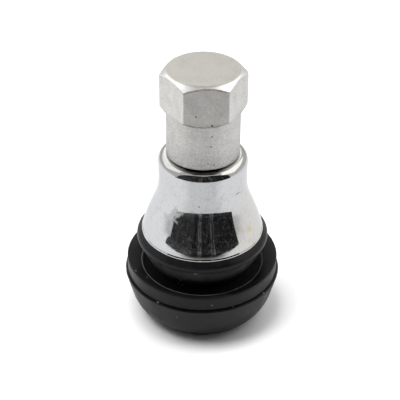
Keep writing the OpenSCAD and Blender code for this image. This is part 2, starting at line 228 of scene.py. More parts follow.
class Graph:
    """A node tree that is being drawn, with short calls for what this scene needs."""

    def __init__(self, tree: NodeTree) -> None:
        """Draws into the given tree."""
        self.tree = tree

    def feed(self, socket: NodeSocket, value: object) -> None:
        """Links a socket or a term to an input, or sets the input's own value.

        Args:
            socket: The input.
            value: What it gets.
        """
        if isinstance(value, Term):
            value = value.socket
        if isinstance(value, NodeSocket):
            self.tree.links.new(value, socket)
        else:
            socket.default_value = value

    def node(self, kind: str, inputs: dict | None = None, **settings: object) -> Node:
        """Adds a node.

        Args:
            kind: The node's type name.
            inputs: Values, sockets or terms by input name or number.
            **settings: The node's own settings.

        Returns:
            The new node.
        """
        node = self.tree.nodes.new(kind)
        for name, value in settings.items():
            setattr(node, name, value)
        for key, value in (inputs or {}).items():
            self.feed(node.inputs[key], value)
        return node

    def term(self, kind: str, output: object = 0, inputs: dict | None = None, **settings: object) -> Term:
        """Adds a node and gives one of its outputs, by name or number, as a term."""
        return Term(self, self.node(kind, inputs, **settings).outputs[output])

    def math(self, operation: str, *values: Number) -> Term:
        """Adds a Math node.

        Args:
            operation: The node's operation.
            *values: Its values, in order.

        Returns:
            Its result.
        """
        node = self.tree.nodes.new("ShaderNodeMath")
        node.operation = operation
        for socket, value in zip(node.inputs, values):
            self.feed(socket, value)
        return Term(self, node.outputs[0])

    def split(self, vector: object) -> tuple[Term, Term, Term]:
        """The three parts of a vector."""
        x, y, z = self.node("ShaderNodeSeparateXYZ", {0: vector}).outputs
        return Term(self, x), Term(self, y), Term(self, z)

    def join(self, x: Number, y: Number, z: Number) -> Term:
        """A vector from its three parts."""
        return self.term("ShaderNodeCombineXYZ", 0, {0: x, 1: y, 2: z})

    def vector(self, operation: str, *values: object) -> Node:
        """Adds a Vector Math node with its values in order."""
        return self.node("ShaderNodeVectorMath", dict(enumerate(values)), operation=operation)

    def noise(self, place: object, scale: Number, detail: Number, roughness: float = 0.5) -> Node:
        """Adds a Noise Texture node.

        Args:
            place: Where it is read.
            scale: How many patches there are to a metre.
            detail: How many times it is made finer.
            roughness: How strong each finer noise is.

        Returns:
            The new node.
        """
        inputs = {"Vector": place, "Scale": scale, "Detail": detail, "Roughness": roughness}
        return self.node("ShaderNodeTexNoise", inputs)

    def ramp(self, value: Number, low: float, high: float, start: float = 0.0, end: float = 1.0) -> Term:
        """A value that changes smoothly with another.

        Args:
            value: The other value.
            low: Where the change begins.
            high: Where it ends, which may be lower.
            start: The result up to low.
            end: The result from high on.

        Returns:
            The result.
        """
        inputs = {"Value": value, "From Min": low, "From Max": high, "To Min": start, "To Max": end}
        return self.term("ShaderNodeMapRange", 0, inputs, interpolation_type="SMOOTHSTEP")

    def blend(self, factor: Number, low: Colour | Term, high: Colour | Term) -> Term:
        """A colour between two others.

        Args:
            factor: How far it lies from the first to the second, from 0 to 1.
            low: The first colour.
            high: The second.

        Returns:
            The colour.
        """
        first, second = (c if isinstance(c, Term) else (*c, 1.0) for c in (low, high))
        return self.term("ShaderNodeMix", 2, {0: factor, 6: first, 7: second}, data_type="RGBA")


class Surface:
    """A material that is being drawn: its graph, its shader and the place on the piece, in metres."""

    def __init__(self, material: Material) -> None:
        """Turns the material's nodes on, and reads the place and its distance from the axis."""
        material.use_nodes = True
        self.graph = Graph(material.node_tree)
        self.shader = material.node_tree.nodes["Principled BSDF"]
        self.place = self.graph.term("ShaderNodeTexCoord", "Object")
        self.x, self.y, self.z = self.graph.split(self.place)
        self.reach = length(self.x, self.y)

    def light_path(self, ray: str) -> Term:
        """Whether the surface is met by one kind of ray."""
        return self.graph.term("ShaderNodeLightPath", ray)

    def feed(self, **values: object) -> None:
        """Feeds the shader's inputs, given with low lines for the spaces in their names."""
        for key, value in values.items():
            self.graph.feed(self.shader.inputs[key.replace("_", " ")], value)

    def shade(self, height: Term, relief: float, **values: object) -> None:
        """Feeds the shader, and makes the surface uneven.

        Args:
            height: The unevenness, from 0 to 1.
            relief: Its full depth in millimetres.
            **values: The shader's inputs, as for feed.
        """
        inputs = {"Height": height, "Distance": relief * MM, "Strength": 1.0}
        self.feed(Normal=self.graph.term("ShaderNodeBump", 0, inputs), **values)


# Outlines of turned pieces


def between(a: float, b: float, share: float) -> float:
    """The value a share of the way from a to b."""
    return a + (b - a) * share


def between_points(a: Point, b: Point, share: float) -> Point:
    """The pair of values a share of the way from a to b."""
    return between(a[0], b[0], share), between(a[1], b[1], share)


@dataclass(frozen=True)
class Corner:
    """One corner of a turned piece's outline, in millimetres.

    round is the corner's rounding. follow is how far the corner moves, in radius and height,
    for each millimetre that a flat lies inside the hexagon's corner circle. depth and pitch
    belong to a thread. ragged is how far a moulded edge wanders, in radius and height. step is
    the longest row on the side that leaves this corner.
    """

    r: float
    z: float
    round: float = 0.0
    follow: Point = (0.0, 0.0)
    depth: float = 0.0
    pitch: float = 1.0
    ragged: Point = (0.0, 0.0)
    step: float = 0.0

    def towards(self, other: "Corner", share: float) -> "Corner":
        """The row that lies part of the way to another corner.

        Args:
            other: The other corner.
            share: How far the row lies along the way, from 0 to 1.

        Returns:
            The row, as a corner with no rounding.
        """
        return replace(
            self,
            r=between(self.r, other.r, share),
            z=between(self.z, other.z, share),
            round=0.0,
            follow=between_points(self.follow, other.follow, share),
            depth=between(self.depth, other.depth, share),
            ragged=between_points(self.ragged, other.ragged, share),
        )

    def distance(self, other: "Corner") -> float:
        """How far away another corner is."""
        return math.hypot(other.r - self.r, other.z - self.z)


def arc(centre: Point, radius: float, start: float, end: float, steps: int, **extra: object) -> list[Corner]:
    """Corners along an arc.

    Args:
        centre: The arc's centre, as radius and height.
        radius: The arc's radius.
        start: Its first angle in degrees, from the direction of growing radius.
        end: Its last angle.
        steps: How many steps it is drawn in.
        **extra: Other values that each corner gets.

    Returns:
        The corners, with both ends.
    """
    angles = [math.radians(start + (end - start) * i / steps) for i in range(steps + 1)]
    r, z = centre
    return [Corner(r + radius * math.cos(a), z + radius * math.sin(a), **extra) for a in angles]


def washer(hole: float, side: float, low: float, high: float, rounds: Sequence[float]) -> list[Corner]:
    """The corners of a flat ring.

    Args:
        hole: The radius of its hole.
        side: Its outer radius.
        low: The height of its lower face.
        high: The height of its upper face.
        rounds: The roundings of its corners, from the hole's lower edge outwards and up.

    Returns:
        The corners.
    """
    places = ((hole, low), (side, low), (side, high), (hole, high))
    return [Corner(r, z, round=size) for (r, z), size in zip(places, rounds)]


@dataclass(frozen=True)
class Outline:
    """The closed outline of a turned piece, on one side of its axis.

    A rounding takes up to round_room of each side beside it, in steps of up to bend_step
    degrees. The rows that hold the sides straight lie up to hold_room of the side away.
    """

    corners: tuple[Corner, ...]
    round_room = 0.42
    bend_step = 11.0
    fewest_steps = 3
    hold_room = 0.06
    hold_share = 0.35
    least_hold = 0.01

    def rows(self) -> list[Corner]:
        """The outline drawn out row by row, with its roundings, and closed at the end."""
        count = len(self.corners)
        on_axis = self.corners[0].r == 0 and self.corners[-1].r == 0
        bends = [self._bend(i) for i in range(count)]
        rows: list[Corner] = []
        for i, corner in enumerate(self.corners):
            rows += bends[i]
            last = i == count - 1
            if last and on_axis:
                break
            start, end = bends[i][-1], bends[(i + 1) % count][0]
            length = start.distance(end)
            if corner.step and length > corner.step:
                parts = math.ceil(length / corner.step)
                rows += [start.towards(end, n / parts) for n in range(1, parts)]
        if not on_axis:
            rows.append(rows[0])
        return rows

    def _bend(self, i: int) -> list[Corner]:
        """Rounds one corner.

        Args:
            i: The corner's number.

        Returns:
            The rows of its rounding, with a holding row on each side.
        """
        corner = self.corners[i]
        if not corner.round:
            return [corner]
        before = self.corners[i - 1]
        after = self.corners[(i + 1) % len(self.corners)]
        room_in, room_out = corner.distance(before), corner.distance(after)
        inward = Vector((before.r - corner.r, before.z - corner.z)).normalized()
        outward = Vector((after.r - corner.r, after.z - corner.z)).normalized()
        half = inward.angle(outward) / 2
        reach = min(corner.round / math.tan(half), self.round_room * room_in, self.round_room * room_out)
        radius = reach * math.tan(half)
        point = Vector((corner.r, corner.z))
        middle = point + (inward + outward).normalized() * radius / math.sin(half)
        first = point + inward * reach - middle
        last = point + outward * reach - middle
        turn = first.angle_signed(last)
        steps = max(self.fewest_steps, math.ceil(math.degrees(abs(turn)) / self.bend_step))
        rows = []
        for n in range(steps + 1):
            a = -turn * n / steps
            r = middle.x + first.x * math.cos(a) - first.y * math.sin(a)
            z = middle.y + first.x * math.sin(a) + first.y * math.cos(a)
            rows.append(replace(corner, r=r, z=z, round=0.0))
        most_hold = self.hold_share * radius + self.least_hold
        hold = min(most_hold, self.hold_room * room_in, self.hold_room * room_out)
        rows.insert(0, rows[0].towards(before, hold / room_in))
        rows.append(rows[-1].towards(after, hold / room_out))
        return rows

    def mesh(self, name: str) -> Mesh:
        """Draws the rows as a string of points, which the turning tree reads.

        Args:
            name: The mesh's name.

        Returns:
            The mesh, with what each row carries as attributes.
        """
        rows = self.rows()
        mesh = bpy.data.meshes.new(name)
        points = [(c.r * MM, 0.0, c.z * MM) for c in rows]
        mesh.from_pydata(points, [(i, i + 1) for i in range(len(rows) - 1)], [])
        notes = {
            "follow": [(c.follow[0], c.follow[1], 0.0) for c in rows],
            "thread": [(c.depth * MM, c.pitch * MM, 0.0) for c in rows],
            "ragged": [(c.ragged[0] * MM, c.ragged[1] * MM, 0.0) for c in rows],
        }
        for note, values in notes.items():
            layer = mesh.attributes.new(note, "FLOAT_VECTOR", "POINT")
            layer.data.foreach_set("vector", [part for value in values for part in value])
        return mesh


# Geometry Nodes


class PieceTree(ABC):
    """A Geometry Nodes tree with named inputs that makes one kind of piece."""

    title: ClassVar[str]
    sockets: ClassVar[dict[str, object]]

    def __init__(self) -> None:
        """Makes the tree and its named inputs, and draws it."""
        self.tree = bpy.data.node_groups.new(self.title, "GeometryNodeTree")
        self.tree.is_modifier = True
        face = self.tree.interface
        for way in ("INPUT", "OUTPUT"):
            face.new_socket("Geometry", in_out=way, socket_type="NodeSocketGeometry")
        self.keys = {name: add_input(self.tree, name, value) for name, value in self.sockets.items()}
        graph = Graph(self.tree)
        given = graph.node("NodeGroupInput")
        terms = {name: Term(graph, given.outputs[name]) for name in ("Geometry", *self.keys)}
        real = graph.node("GeometryNodeRealizeInstances", {0: self.draw(graph, terms)})
        inputs = {"Geometry": real.outputs[0], "Material": terms["Material"]}
        dressed = graph.node("GeometryNodeSetMaterial", inputs)
        graph.node("NodeGroupOutput", {0: dressed.outputs[0]})

    @abstractmethod
    def draw(self, graph: Graph, given: dict[str, Term]) -> NodeSocket:
        """Draws the tree.

        Args:
            graph: The tree to draw in.
            given: The tree's inputs by name.

        Returns:
            The geometry that the tree makes.
        """

    def run(self, name: str, source: Mesh, **values: object) -> Mesh:
        """Runs the tree on a mesh and gives its result as a plain mesh.

        Args:
            name: The result's name.
            source: The mesh that the tree reads.
            **values: The tree's inputs, with low lines for the spaces in their names.

        Returns:
            The finished mesh, in metres.
        """
        carrier = bpy.data.objects.new(name + "_draft", source)
        bpy.context.scene.collection.objects.link(carrier)
        modifier = carrier.modifiers.new(self.title, "NODES")
        modifier.node_group = self.tree
        for key, value in values.items():
            modifier[self.keys[key.replace("_", " ")]] = value
        bpy.context.view_layer.update()
        depsgraph = bpy.context.evaluated_depsgraph_get()
        result = bpy.data.meshes.new_from_object(carrier.evaluated_get(depsgraph))
        carrier.modifiers.remove(modifier)
        bpy.data.objects.remove(carrier)
        bpy.data.meshes.remove(source)
        result.name = name
        return result


class TurningTree(PieceTree):
    """Turns an outline about the valve's axis, with threads, a hexagon and ragged edges.

    thread_flat is how much of a thread's ridge is cut off flat at its crest and at its root.
    wander_radius is how wide a circle the ragged edges read their noise on, in metres.
    """

    title = "Turned piece"
    sides = 6
    thread_flat = 0.12
    wander_radius = 0.01
    wander_detail = 3.0
    wander_roughness = 0.65
    sockets = {
        "Segments": 80,
        "Across Flats": 0.01,
        "Hexagon Turn": 0.0,
        "Corner Rounding": 0.0001,
        "Corner Crowding": 1.0,
        "Ragged Waves": 600.0,
        "Sharp Angle": 0.6,
        "Material": None,
    }

    def draw(self, graph: Graph, given: dict[str, Term]) -> NodeSocket:
        """Draws a grid of columns and rows, and rolls it round the axis.

        Args:
            graph: The tree to draw in.
            given: The tree's inputs by name.

        Returns:
            The turned piece.
        """
        size = graph.node("GeometryNodeAttributeDomainSize", {0: given["Geometry"]}, component="MESH")
        rows = Term(graph, size.outputs["Point Count"])
        segments = given["Segments"]
        grid = graph.node("GeometryNodeMeshGrid", {"Vertices X": segments + 1.0, "Vertices Y": rows})
        index = graph.term("GeometryNodeInputIndex")
        column = ((index + 0.5) / rows).apply("FLOOR")
        row = index - column * rows
        r, _, z = graph.split(self._sample(graph, given, row, "position"))
        follow_r, follow_z, _ = graph.split(self._sample(graph, given, row, "follow"))
        depth, pitch, _ = graph.split(self._sample(graph, given, row, "thread"))
        ragged_r, ragged_z, _ = graph.split(self._sample(graph, given, row, "ragged"))

        sixth = math.tau / self.sides
        place = column / segments * self.sides
        sector = place.apply("FLOOR")
        part = place - sector
        near = part.apply("MINIMUM", 1.0 - part)
        crowded = (near * 2.0) ** given["Corner Crowding"] * 0.5
        later = part.apply("GREATER_THAN", 0.5)
        share = crowded + later * (1.0 - crowded * 2.0)
        angle = (sector + share) * sixth + given["Hexagon Turn"]
        from_corner = crowded * sixth
        fall = self._flat_fall(graph, given, from_corner)

        wide, cosine, sine = self.wander_radius, angle.apply("COSINE"), angle.apply("SINE")
        ring = graph.join(cosine * wide, sine * wide, z)
        wander = graph.noise(ring, given["Ragged Waves"], self.wander_detail, self.wander_roughness)
        push_r, push_z, _ = graph.split(wander.outputs["Color"])
        radius = r + follow_r * fall + ragged_r * (push_r * 2.0 - 1.0)
        height = z + follow_z * fall + ragged_z * (push_z * 2.0 - 1.0)
        phase = (height / pitch - angle / math.tau).apply("FRACT")
        wave = (phase * 2.0 - 1.0).apply("ABSOLUTE") * (1.0 + 2.0 * self.thread_flat) - self.thread_flat
        radius = radius - depth * wave.clamped()
        spot = graph.join(radius * cosine, radius * sine, height)
        rolled = graph.node("GeometryNodeSetPosition", {"Geometry": grid.outputs["Mesh"], "Position": spot})
        inputs = {"Geometry": rolled.outputs[0], "Distance": MERGE_DISTANCE}
        closed = graph.node("GeometryNodeMergeByDistance", inputs)
        inputs = {"Geometry": closed.outputs[0], "Shade Smooth": True}
        smooth = graph.node("GeometryNodeSetShadeSmooth", inputs)
        bend = graph.term("GeometryNodeInputMeshEdgeAngle")
        sharp = bend.apply("GREATER_THAN", given["Sharp Angle"])
        creased = graph.node(
            "GeometryNodeSetShadeSmooth",
            {"Geometry": smooth.outputs[0], "Selection": sharp, "Shade Smooth": False},
            domain="EDGE",
        )
        return creased.outputs[0]

    def _sample(self, graph: Graph, given: dict[str, Term], row: Term, note: str) -> Term:
        """Reads what the outline carries.

        Args:
            graph: The tree to draw in.
            given: The tree's inputs by name.
            row: The row to read.
            note: The outline's attribute, or position.

        Returns:
            The row's vector.
        """
        if note == "position":
            value = graph.term("GeometryNodeInputPosition")
        else:
            inputs, kind = {"Name": note}, "GeometryNodeInputNamedAttribute"
            value = graph.term(kind, "Attribute", inputs, data_type="FLOAT_VECTOR")
        return graph.term(
            "GeometryNodeSampleIndex",
            0,
            {"Geometry": given["Geometry"], "Value": value, "Index": row + 0.25},
            data_type="FLOAT_VECTOR",
            domain="POINT",
        )

    def _flat_fall(self, graph: Graph, given: dict[str, Term], from_corner: Term) -> Term:
        """Measures the hexagon's side.

        Args:
            graph: Not used.
            given: The tree's inputs by name.
            from_corner: The angle from the nearest corner.

        Returns:
            How far the side lies inside its corner circle there.
        """
        half = given["Across Flats"] * 0.5
        rounding = given["Corner Rounding"]
        half_side = math.pi / self.sides
        corner = half / math.cos(half_side)
        centre = (half - rounding) / math.cos(half_side)
        across = rounding * math.sin(half_side)
        limit = (across / (centre + rounding * math.cos(half_side))).apply("ARCTANGENT")
        flat = half / (half_side - from_corner).apply("COSINE")
        off = centre * from_corner.apply("SINE")
        rise = (rounding * rounding - off * off).apply("MAXIMUM", 0.0) ** 0.5
        bow = centre * from_corner.apply("COSINE") + rise
        rounded = from_corner.apply("LESS_THAN", limit)
        return corner - (flat + rounded * (bow - flat))


class CoilTree(PieceTree):
    """Winds a wire into a compression spring with one closed turn at each end."""

    title = "Coil spring"
    closed_turns = 2.0
    sockets = {
        "Coil Radius": 0.001,
        "Wire Radius": 0.0001,
        "Free Turns": 5.0,
        "Low End": 0.0,
        "High End": 0.01,
        "Closed Pitch": 0.0003,
        "Steps": 336,
        "Sides": 12,
        "Material": None,
    }

    def draw(self, graph: Graph, given: dict[str, Term]) -> NodeSocket:
        """Draws a line, winds it up and sweeps the wire along it.

        Args:
            graph: The tree to draw in.
            given: The tree's inputs by name.

        Returns:
            The wound wire.
        """
        line = graph.node("GeometryNodeCurvePrimitiveLine")
        steps, free, closed = given["Steps"], given["Free Turns"], given["Closed Pitch"]
        fine = graph.node("GeometryNodeResampleCurve", {"Curve": line.outputs[0], "Count": steps + 1.0})
        turns = graph.term("GeometryNodeInputIndex") / steps * (free + self.closed_turns)
        span = given["High End"] - given["Low End"] - closed * self.closed_turns
        first = turns.apply("MINIMUM", 1.0) * closed
        middle = (turns - 1.0).apply("MAXIMUM", 0.0).apply("MINIMUM", free) / free * span
        last = (turns - free - 1.0).apply("MAXIMUM", 0.0) * closed
        angle = turns * math.tau
        spot = graph.join(
            given["Coil Radius"] * angle.apply("COSINE"),
            given["Coil Radius"] * angle.apply("SINE"),
            given["Low End"] + first + middle + last,
        )
        wound = graph.node("GeometryNodeSetPosition", {"Geometry": fine.outputs[0], "Position": spot})
        inputs = {"Resolution": given["Sides"], "Radius": given["Wire Radius"]}
        wire = graph.node("GeometryNodeCurvePrimitiveCircle", inputs)
        inputs = {"Curve": wound.outputs[0], "Profile Curve": wire.outputs[0], "Fill Caps": True}
        swept = graph.node("GeometryNodeCurveToMesh", inputs)
        inputs = {"Geometry": swept.outputs[0], "Shade Smooth": True}
        return graph.node("GeometryNodeSetShadeSmooth", inputs).outputs[0]


# Shader groups


class EffectGroup(ABC):
    """A shader node group for an effect that more than one finish uses."""

    title: ClassVar[str]
    given: ClassVar[dict[str, object]]
    made: ClassVar[str]

    @classmethod
    def tree(cls) -> NodeTree:
        """The group's tree, drawn when it is first asked for."""
        tree = bpy.data.node_groups.get(cls.title)
        if tree:
            return tree
        tree = bpy.data.node_groups.new(cls.title, "ShaderNodeTree")
        for name, value in cls.given.items():
            add_input(tree, name, value)
        tree.interface.new_socket(cls.made, in_out="OUTPUT", socket_type="NodeSocketFloat")
        graph = Graph(tree)
        source = graph.node("NodeGroupInput")
        result = cls.draw(graph, {name: Term(graph, source.outputs[name]) for name in cls.given})
        graph.node("NodeGroupOutput", {cls.made: result})
        return tree

    @classmethod
    @abstractmethod
    def draw(cls, graph: Graph, given: dict[str, Term]) -> Term:
        """Draws the group.

        Args:
            graph: The group's graph.
            given: Its inputs by name.

        Returns:
            Its output.
        """

    @classmethod
    def place(cls, on: Surface, **values: object) -> Term:
        """Places the group in a material.

        Args:
            on: The surface that gets the effect.
            **values: The group's other inputs, with low lines for the spaces in their names.

        Returns:
            The group's output.
        """
        node = on.graph.node("ShaderNodeGroup", {"Vector": on.place}, node_tree=cls.tree())
        for key, value in values.items():
            on.graph.feed(node.inputs[key.replace("_", " ")], value)
        return Term(on.graph, node.outputs[0])


class Mottle(EffectGroup):
    """Soft uneven patches, from 0 to 1."""

    title = "Mottle"
    roughness = 0.6
    given = {
        "Vector": (0.0, 0.0, 0.0),
        "Patch Size": 0.001,
        "Low": 0.35,
        "High": 0.65,
        "Fineness": 3.0,
    }
    made = "Mask"

    @classmethod
    def draw(cls, graph: Graph, given: dict[str, Term]) -> Term:
        """Draws fractal noise with its contrast pulled up."""
        noise = graph.noise(given["Vector"], 1.0 / given["Patch Size"], given["Fineness"], cls.roughness)
        share = (Term(graph, noise.outputs[0]) - given["Low"]) / (given["High"] - given["Low"])
        return share.clamped()


class Specks(EffectGroup):
    """Small specks or pits scattered over the surface, as a mask."""

    title = "Specks"
    least_size = 0.4
    size_range = 0.8
    sharpness = 2.5
    given = {
        "Vector": (0.0, 0.0, 0.0),
        "Spacing": 0.001,
        "Share": 0.3,
        "Size": 0.1,
    }
    made = "Mask"

    @classmethod
    def draw(cls, graph: Graph, given: dict[str, Term]) -> Term:
        """Draws cells, keeps a share of them and puts a round speck in each."""
        inputs = {"Vector": given["Vector"], "Scale": 1.0 / given["Spacing"], "Randomness": 1.0}
        cells = graph.node("ShaderNodeTexVoronoi", inputs)
        chance, size, _ = graph.split(cells.outputs["Color"])
        kept = chance.apply("LESS_THAN", given["Share"])
        reach = given["Size"] * (size * cls.size_range + cls.least_size)
        inside = (1.0 - Term(graph, cells.outputs["Distance"]) / reach) * cls.sharpness
        return kept * inside.clamped()


class Mark(EffectGroup):
    """One mark at a given place, such as a pit, a stain or a scratch, as a mask."""

    title = "Mark"
    waves = 1.2
    wave_detail = 2.0
    core = 0.45
    given = {
        "Vector": (0.0, 0.0, 0.0),
        "Centre": (0.0, 0.0, 0.0),
        "Radius": 0.001,
        "Stretch": (1.0, 1.0, 1.0),
        "Raggedness": 0.3,
    }
    made = "Mask"

    @classmethod
    def draw(cls, graph: Graph, given: dict[str, Term]) -> Term:
        """Draws the distance from the centre, with an uneven edge."""
        away = graph.vector("SUBTRACT", given["Vector"], given["Centre"]).outputs[0]
        pulled = graph.vector("MULTIPLY", away, given["Stretch"]).outputs[0]
        distance = Term(graph, graph.vector("LENGTH", pulled).outputs["Value"])
        noise = graph.noise(given["Vector"], cls.waves / given["Radius"], cls.wave_detail)
        uneven = Term(graph, noise.outputs[0]) * 2.0 - 1.0
        share = distance / given["Radius"] + uneven * given["Raggedness"]
        return graph.ramp(share, 1.0, cls.core)


class TurningMarks(EffectGroup):
    """The fine rings that a lathe leaves, as a height from 0 to 1."""

    title = "Turning marks"
    detail = 2.0
    roughness = 0.7
    given = {
        "Vector": (0.0, 0.0, 0.0),
        "Ring Size": 0.0002,
    }
    made = "Height"

    @classmethod
    def draw(cls, graph: Graph, given: dict[str, Term]) -> Term:
        """Draws noise that changes only along the radius and the height."""
        x, y, z = graph.split(given["Vector"])
        place = graph.join(length(x, y), 0.0, z)
        rings = graph.noise(place, 1.0 / given["Ring Size"], cls.detail, cls.roughness)
        return Term(graph, rings.outputs[0])


# Finishes


@dataclass(frozen=True)
class Mottling:
    """Patches: their size in millimetres, the noise where they start and are full, and their detail."""

    size: float
    low: float
    high: float
    fineness: float = 3.0

    def mask(self, on: Surface) -> Term:
        """The patches in a material, from 0 to 1."""
        size = self.size * MM
        return Mottle.place(on, Patch_Size=size, Low=self.low, High=self.high, Fineness=self.fineness)


@dataclass(frozen=True)
class Speckling:
    """Scattered specks: their spacing in millimetres, the share of cells with one, their size in cells."""

    spacing: float
    share: float
    size: float

    def mask(self, on: Surface) -> Term:
        """The specks in a material."""
        return Specks.place(on, Spacing=self.spacing * MM, Share=self.share, Size=self.size)


@dataclass(frozen=True)
class Fade:
    """A smooth change along a measure of the piece: least at start, 1 at full, both in millimetres."""

    start: float
    full: float
    least: float = 0.0

    def over(self, measure: Term) -> Term:
        """The change as a mask over a measure in metres."""
        return measure.graph.ramp(measure, self.start * MM, self.full * MM, self.least)


@dataclass(frozen=True)
class Zone:
    """A zone of a turned piece, by changes along its radius and along its height."""

    across: tuple[Fade, ...] = ()
    up: tuple[Fade, ...] = ()

    def mask(self, on: Surface) -> Term:
        """The zone in a material, from 0 to 1."""
        parts = [fade.over(on.reach) for fade in self.across] + [fade.over(on.z) for fade in self.up]
        return math.prod(parts[1:], start=parts[0])


@dataclass(frozen=True)
class ConeBand:
    """A band where a cone about the axis cuts the surface, in millimetres.

    height is where the cone meets the axis. fall is how much lower it lies for each millimetre
    away from the axis. edge is the change across the band, and strength is how well it shows.
    """

    height: float
    fall: float
    edge: Fade = Fade(0.09, 0.05)
    strength: float = 1.0

    def mask(self, on: Surface) -> Term:
        """The band in a material."""
        off = (on.z + on.reach * self.fall - self.height * MM).apply("ABSOLUTE")
        return self.edge.over(off) * self.strength


@dataclass(frozen=True)
class Ring:
    """A thin ring about the axis, by its radius, height and width in millimetres."""

    radius: float
    height: float
    width: float
    core: float = 0.4

    def mask(self, on: Surface) -> Term:
        """The ring in a material, full over its core."""
        off = length(on.reach - self.radius * MM, on.z - self.height * MM)
        return Fade(self.width, self.width * self.core).over(off)


@dataclass(frozen=True)
class PlacedMark:
    """A mark that the photograph shows, by its place on the piece in millimetres."""

    centre: tuple[float, float, float]
    radius: float
    stretch: tuple[float, float, float] = (1.0, 1.0, 1.0)
    raggedness: float = 0.3

    def mask(self, on: Surface) -> Term:
        """The mark in a material."""
        return Mark.place(
            on,
            Centre=tuple(part * MM for part in self.centre),
            Radius=self.radius * MM,
            Stretch=self.stretch,
            Raggedness=self.raggedness,
        )


def most(terms: Sequence[Term]) -> Term:
    """The largest of several masks."""
    result = terms[0]
    for term in terms[1:]:
        result = result.apply("MAXIMUM", term)
    return result


def marked(on: Surface, marks: Sequence[PlacedMark]) -> Term:
    """One mask for several placed marks."""
    return most([mark.mask(on) for mark in marks])


@dataclass(frozen=True)
class Finish(ABC):
    """How a surface looks. Each one makes its own material."""

    name: str

    def material(self) -> Material:
        """The finish's material, made when it is first asked for."""
        found = bpy.data.materials.get(self.name)
        if found:
            return found
        material = bpy.data.materials.new(self.name)
        self.dress(Surface(material))
        return material

    @abstractmethod
    def dress(self, on: Surface) -> None:
        """Draws the finish into its material.

        Args:
            on: The surface that gets the finish.
        """


@dataclass(frozen=True)
class MouldedRubber(Finish):
    """Black rubber with a slight sheen, uneven gloss, light specks, a painted highlight on the mould line,
    painted light on the neck and painted shade in the hollow.
    """

    colour: Colour = (0.003, 0.003, 0.0031)
    worn_colour: Colour = (0.0088, 0.009, 0.0093)
    speck_colour: Colour = (0.13, 0.125, 0.115)
    fleck_colour: Colour = (0.2, 0.19, 0.165)
    # Painted highlight: a pale ring on the mould line, standing in for the light its ridge catches.
    ring_highlight_colour: Colour = (0.24, 0.24, 0.24)
    # Painted light: a paler neck under the lip.
    painted_light_colour: Colour = (0.05, 0.05, 0.051)
    # Painted shade: black in the hollow between the neck and the dish, under the lip.
    hollow_shade_colour: Colour = (0.0, 0.0, 0.0)
    gloss: float = 0.19
    roughness: float = 0.36
    dull_roughness: float = 0.5
    hollow_dulling: float = 0.45
    relief: float = 0.004
    speck_height: float = 2.0
    patches: Mottling = Mottling(2.4, 0.38, 0.66, 4.0)
    grain: Mottling = Mottling(0.16, 0.2, 0.8)
    specks: Speckling = Speckling(1.3, 0.35, 0.055)
    highlight_rings: tuple[Ring, ...] = ()
    ring_highlight_thinning: float = 0.5
    shaded_hollows: tuple[Zone, ...] = ()
    painted_light_zones: tuple[Zone, ...] = ()
    painted_light_thinning: float = 0.3
    unlit: Zone = Zone(across=(Fade(7.1, 7.5),), up=(Fade(9.0, 8.5),))
    flecks: tuple[PlacedMark, ...] = ()

    def dress(self, on: Surface) -> None:
        """Mixes mottled gloss, a painted highlight on the mould line, painted shade in the hollow, specks,
        painted light on the neck, flecks and a moulded grain.

        Args:
            on: The surface that gets the finish.
        """
        graph = on.graph
        patches = self.patches.mask(on)
        specks = self.specks.mask(on)
        base = graph.blend(patches, self.colour, self.worn_colour)
        roughness = graph.ramp(patches, 0.0, 1.0, self.roughness, self.dull_roughness)
        # Painted highlight on the mould line's ring.
        for ring in self.highlight_rings:
            ring_highlight = ring.mask(on) * patches.thinned(self.ring_highlight_thinning)
            base = graph.blend(ring_highlight, base, self.ring_highlight_colour)
        # Painted shade in the hollow by the neck, which is also made rougher.
        for zone in self.shaded_hollows:
            hollow_shade = zone.mask(on)
            base = graph.blend(hollow_shade, base, self.hollow_shade_colour)
            roughness = roughness + hollow_shade * self.hollow_dulling
        base = graph.blend(specks, base, self.speck_colour)
        # Painted light on the neck under the lip, kept off the unlit zone by the dish.
        for zone in self.painted_light_zones:
            lit = zone.mask(on) * (1.0 - self.unlit.mask(on))
            base = graph.blend(lit * patches.thinned(self.painted_light_thinning), base, self.painted_light_colour)
        if self.flecks:
            flecks = marked(on, self.flecks)
            base = graph.blend(flecks, base, self.fleck_colour)
            specks = specks.apply("MAXIMUM", flecks)
        height = self.grain.mask(on) + specks * self.speck_height
        on.shade(height, self.relief, Base_Color=base, Roughness=roughness, Specular_IOR_Level=self.gloss)


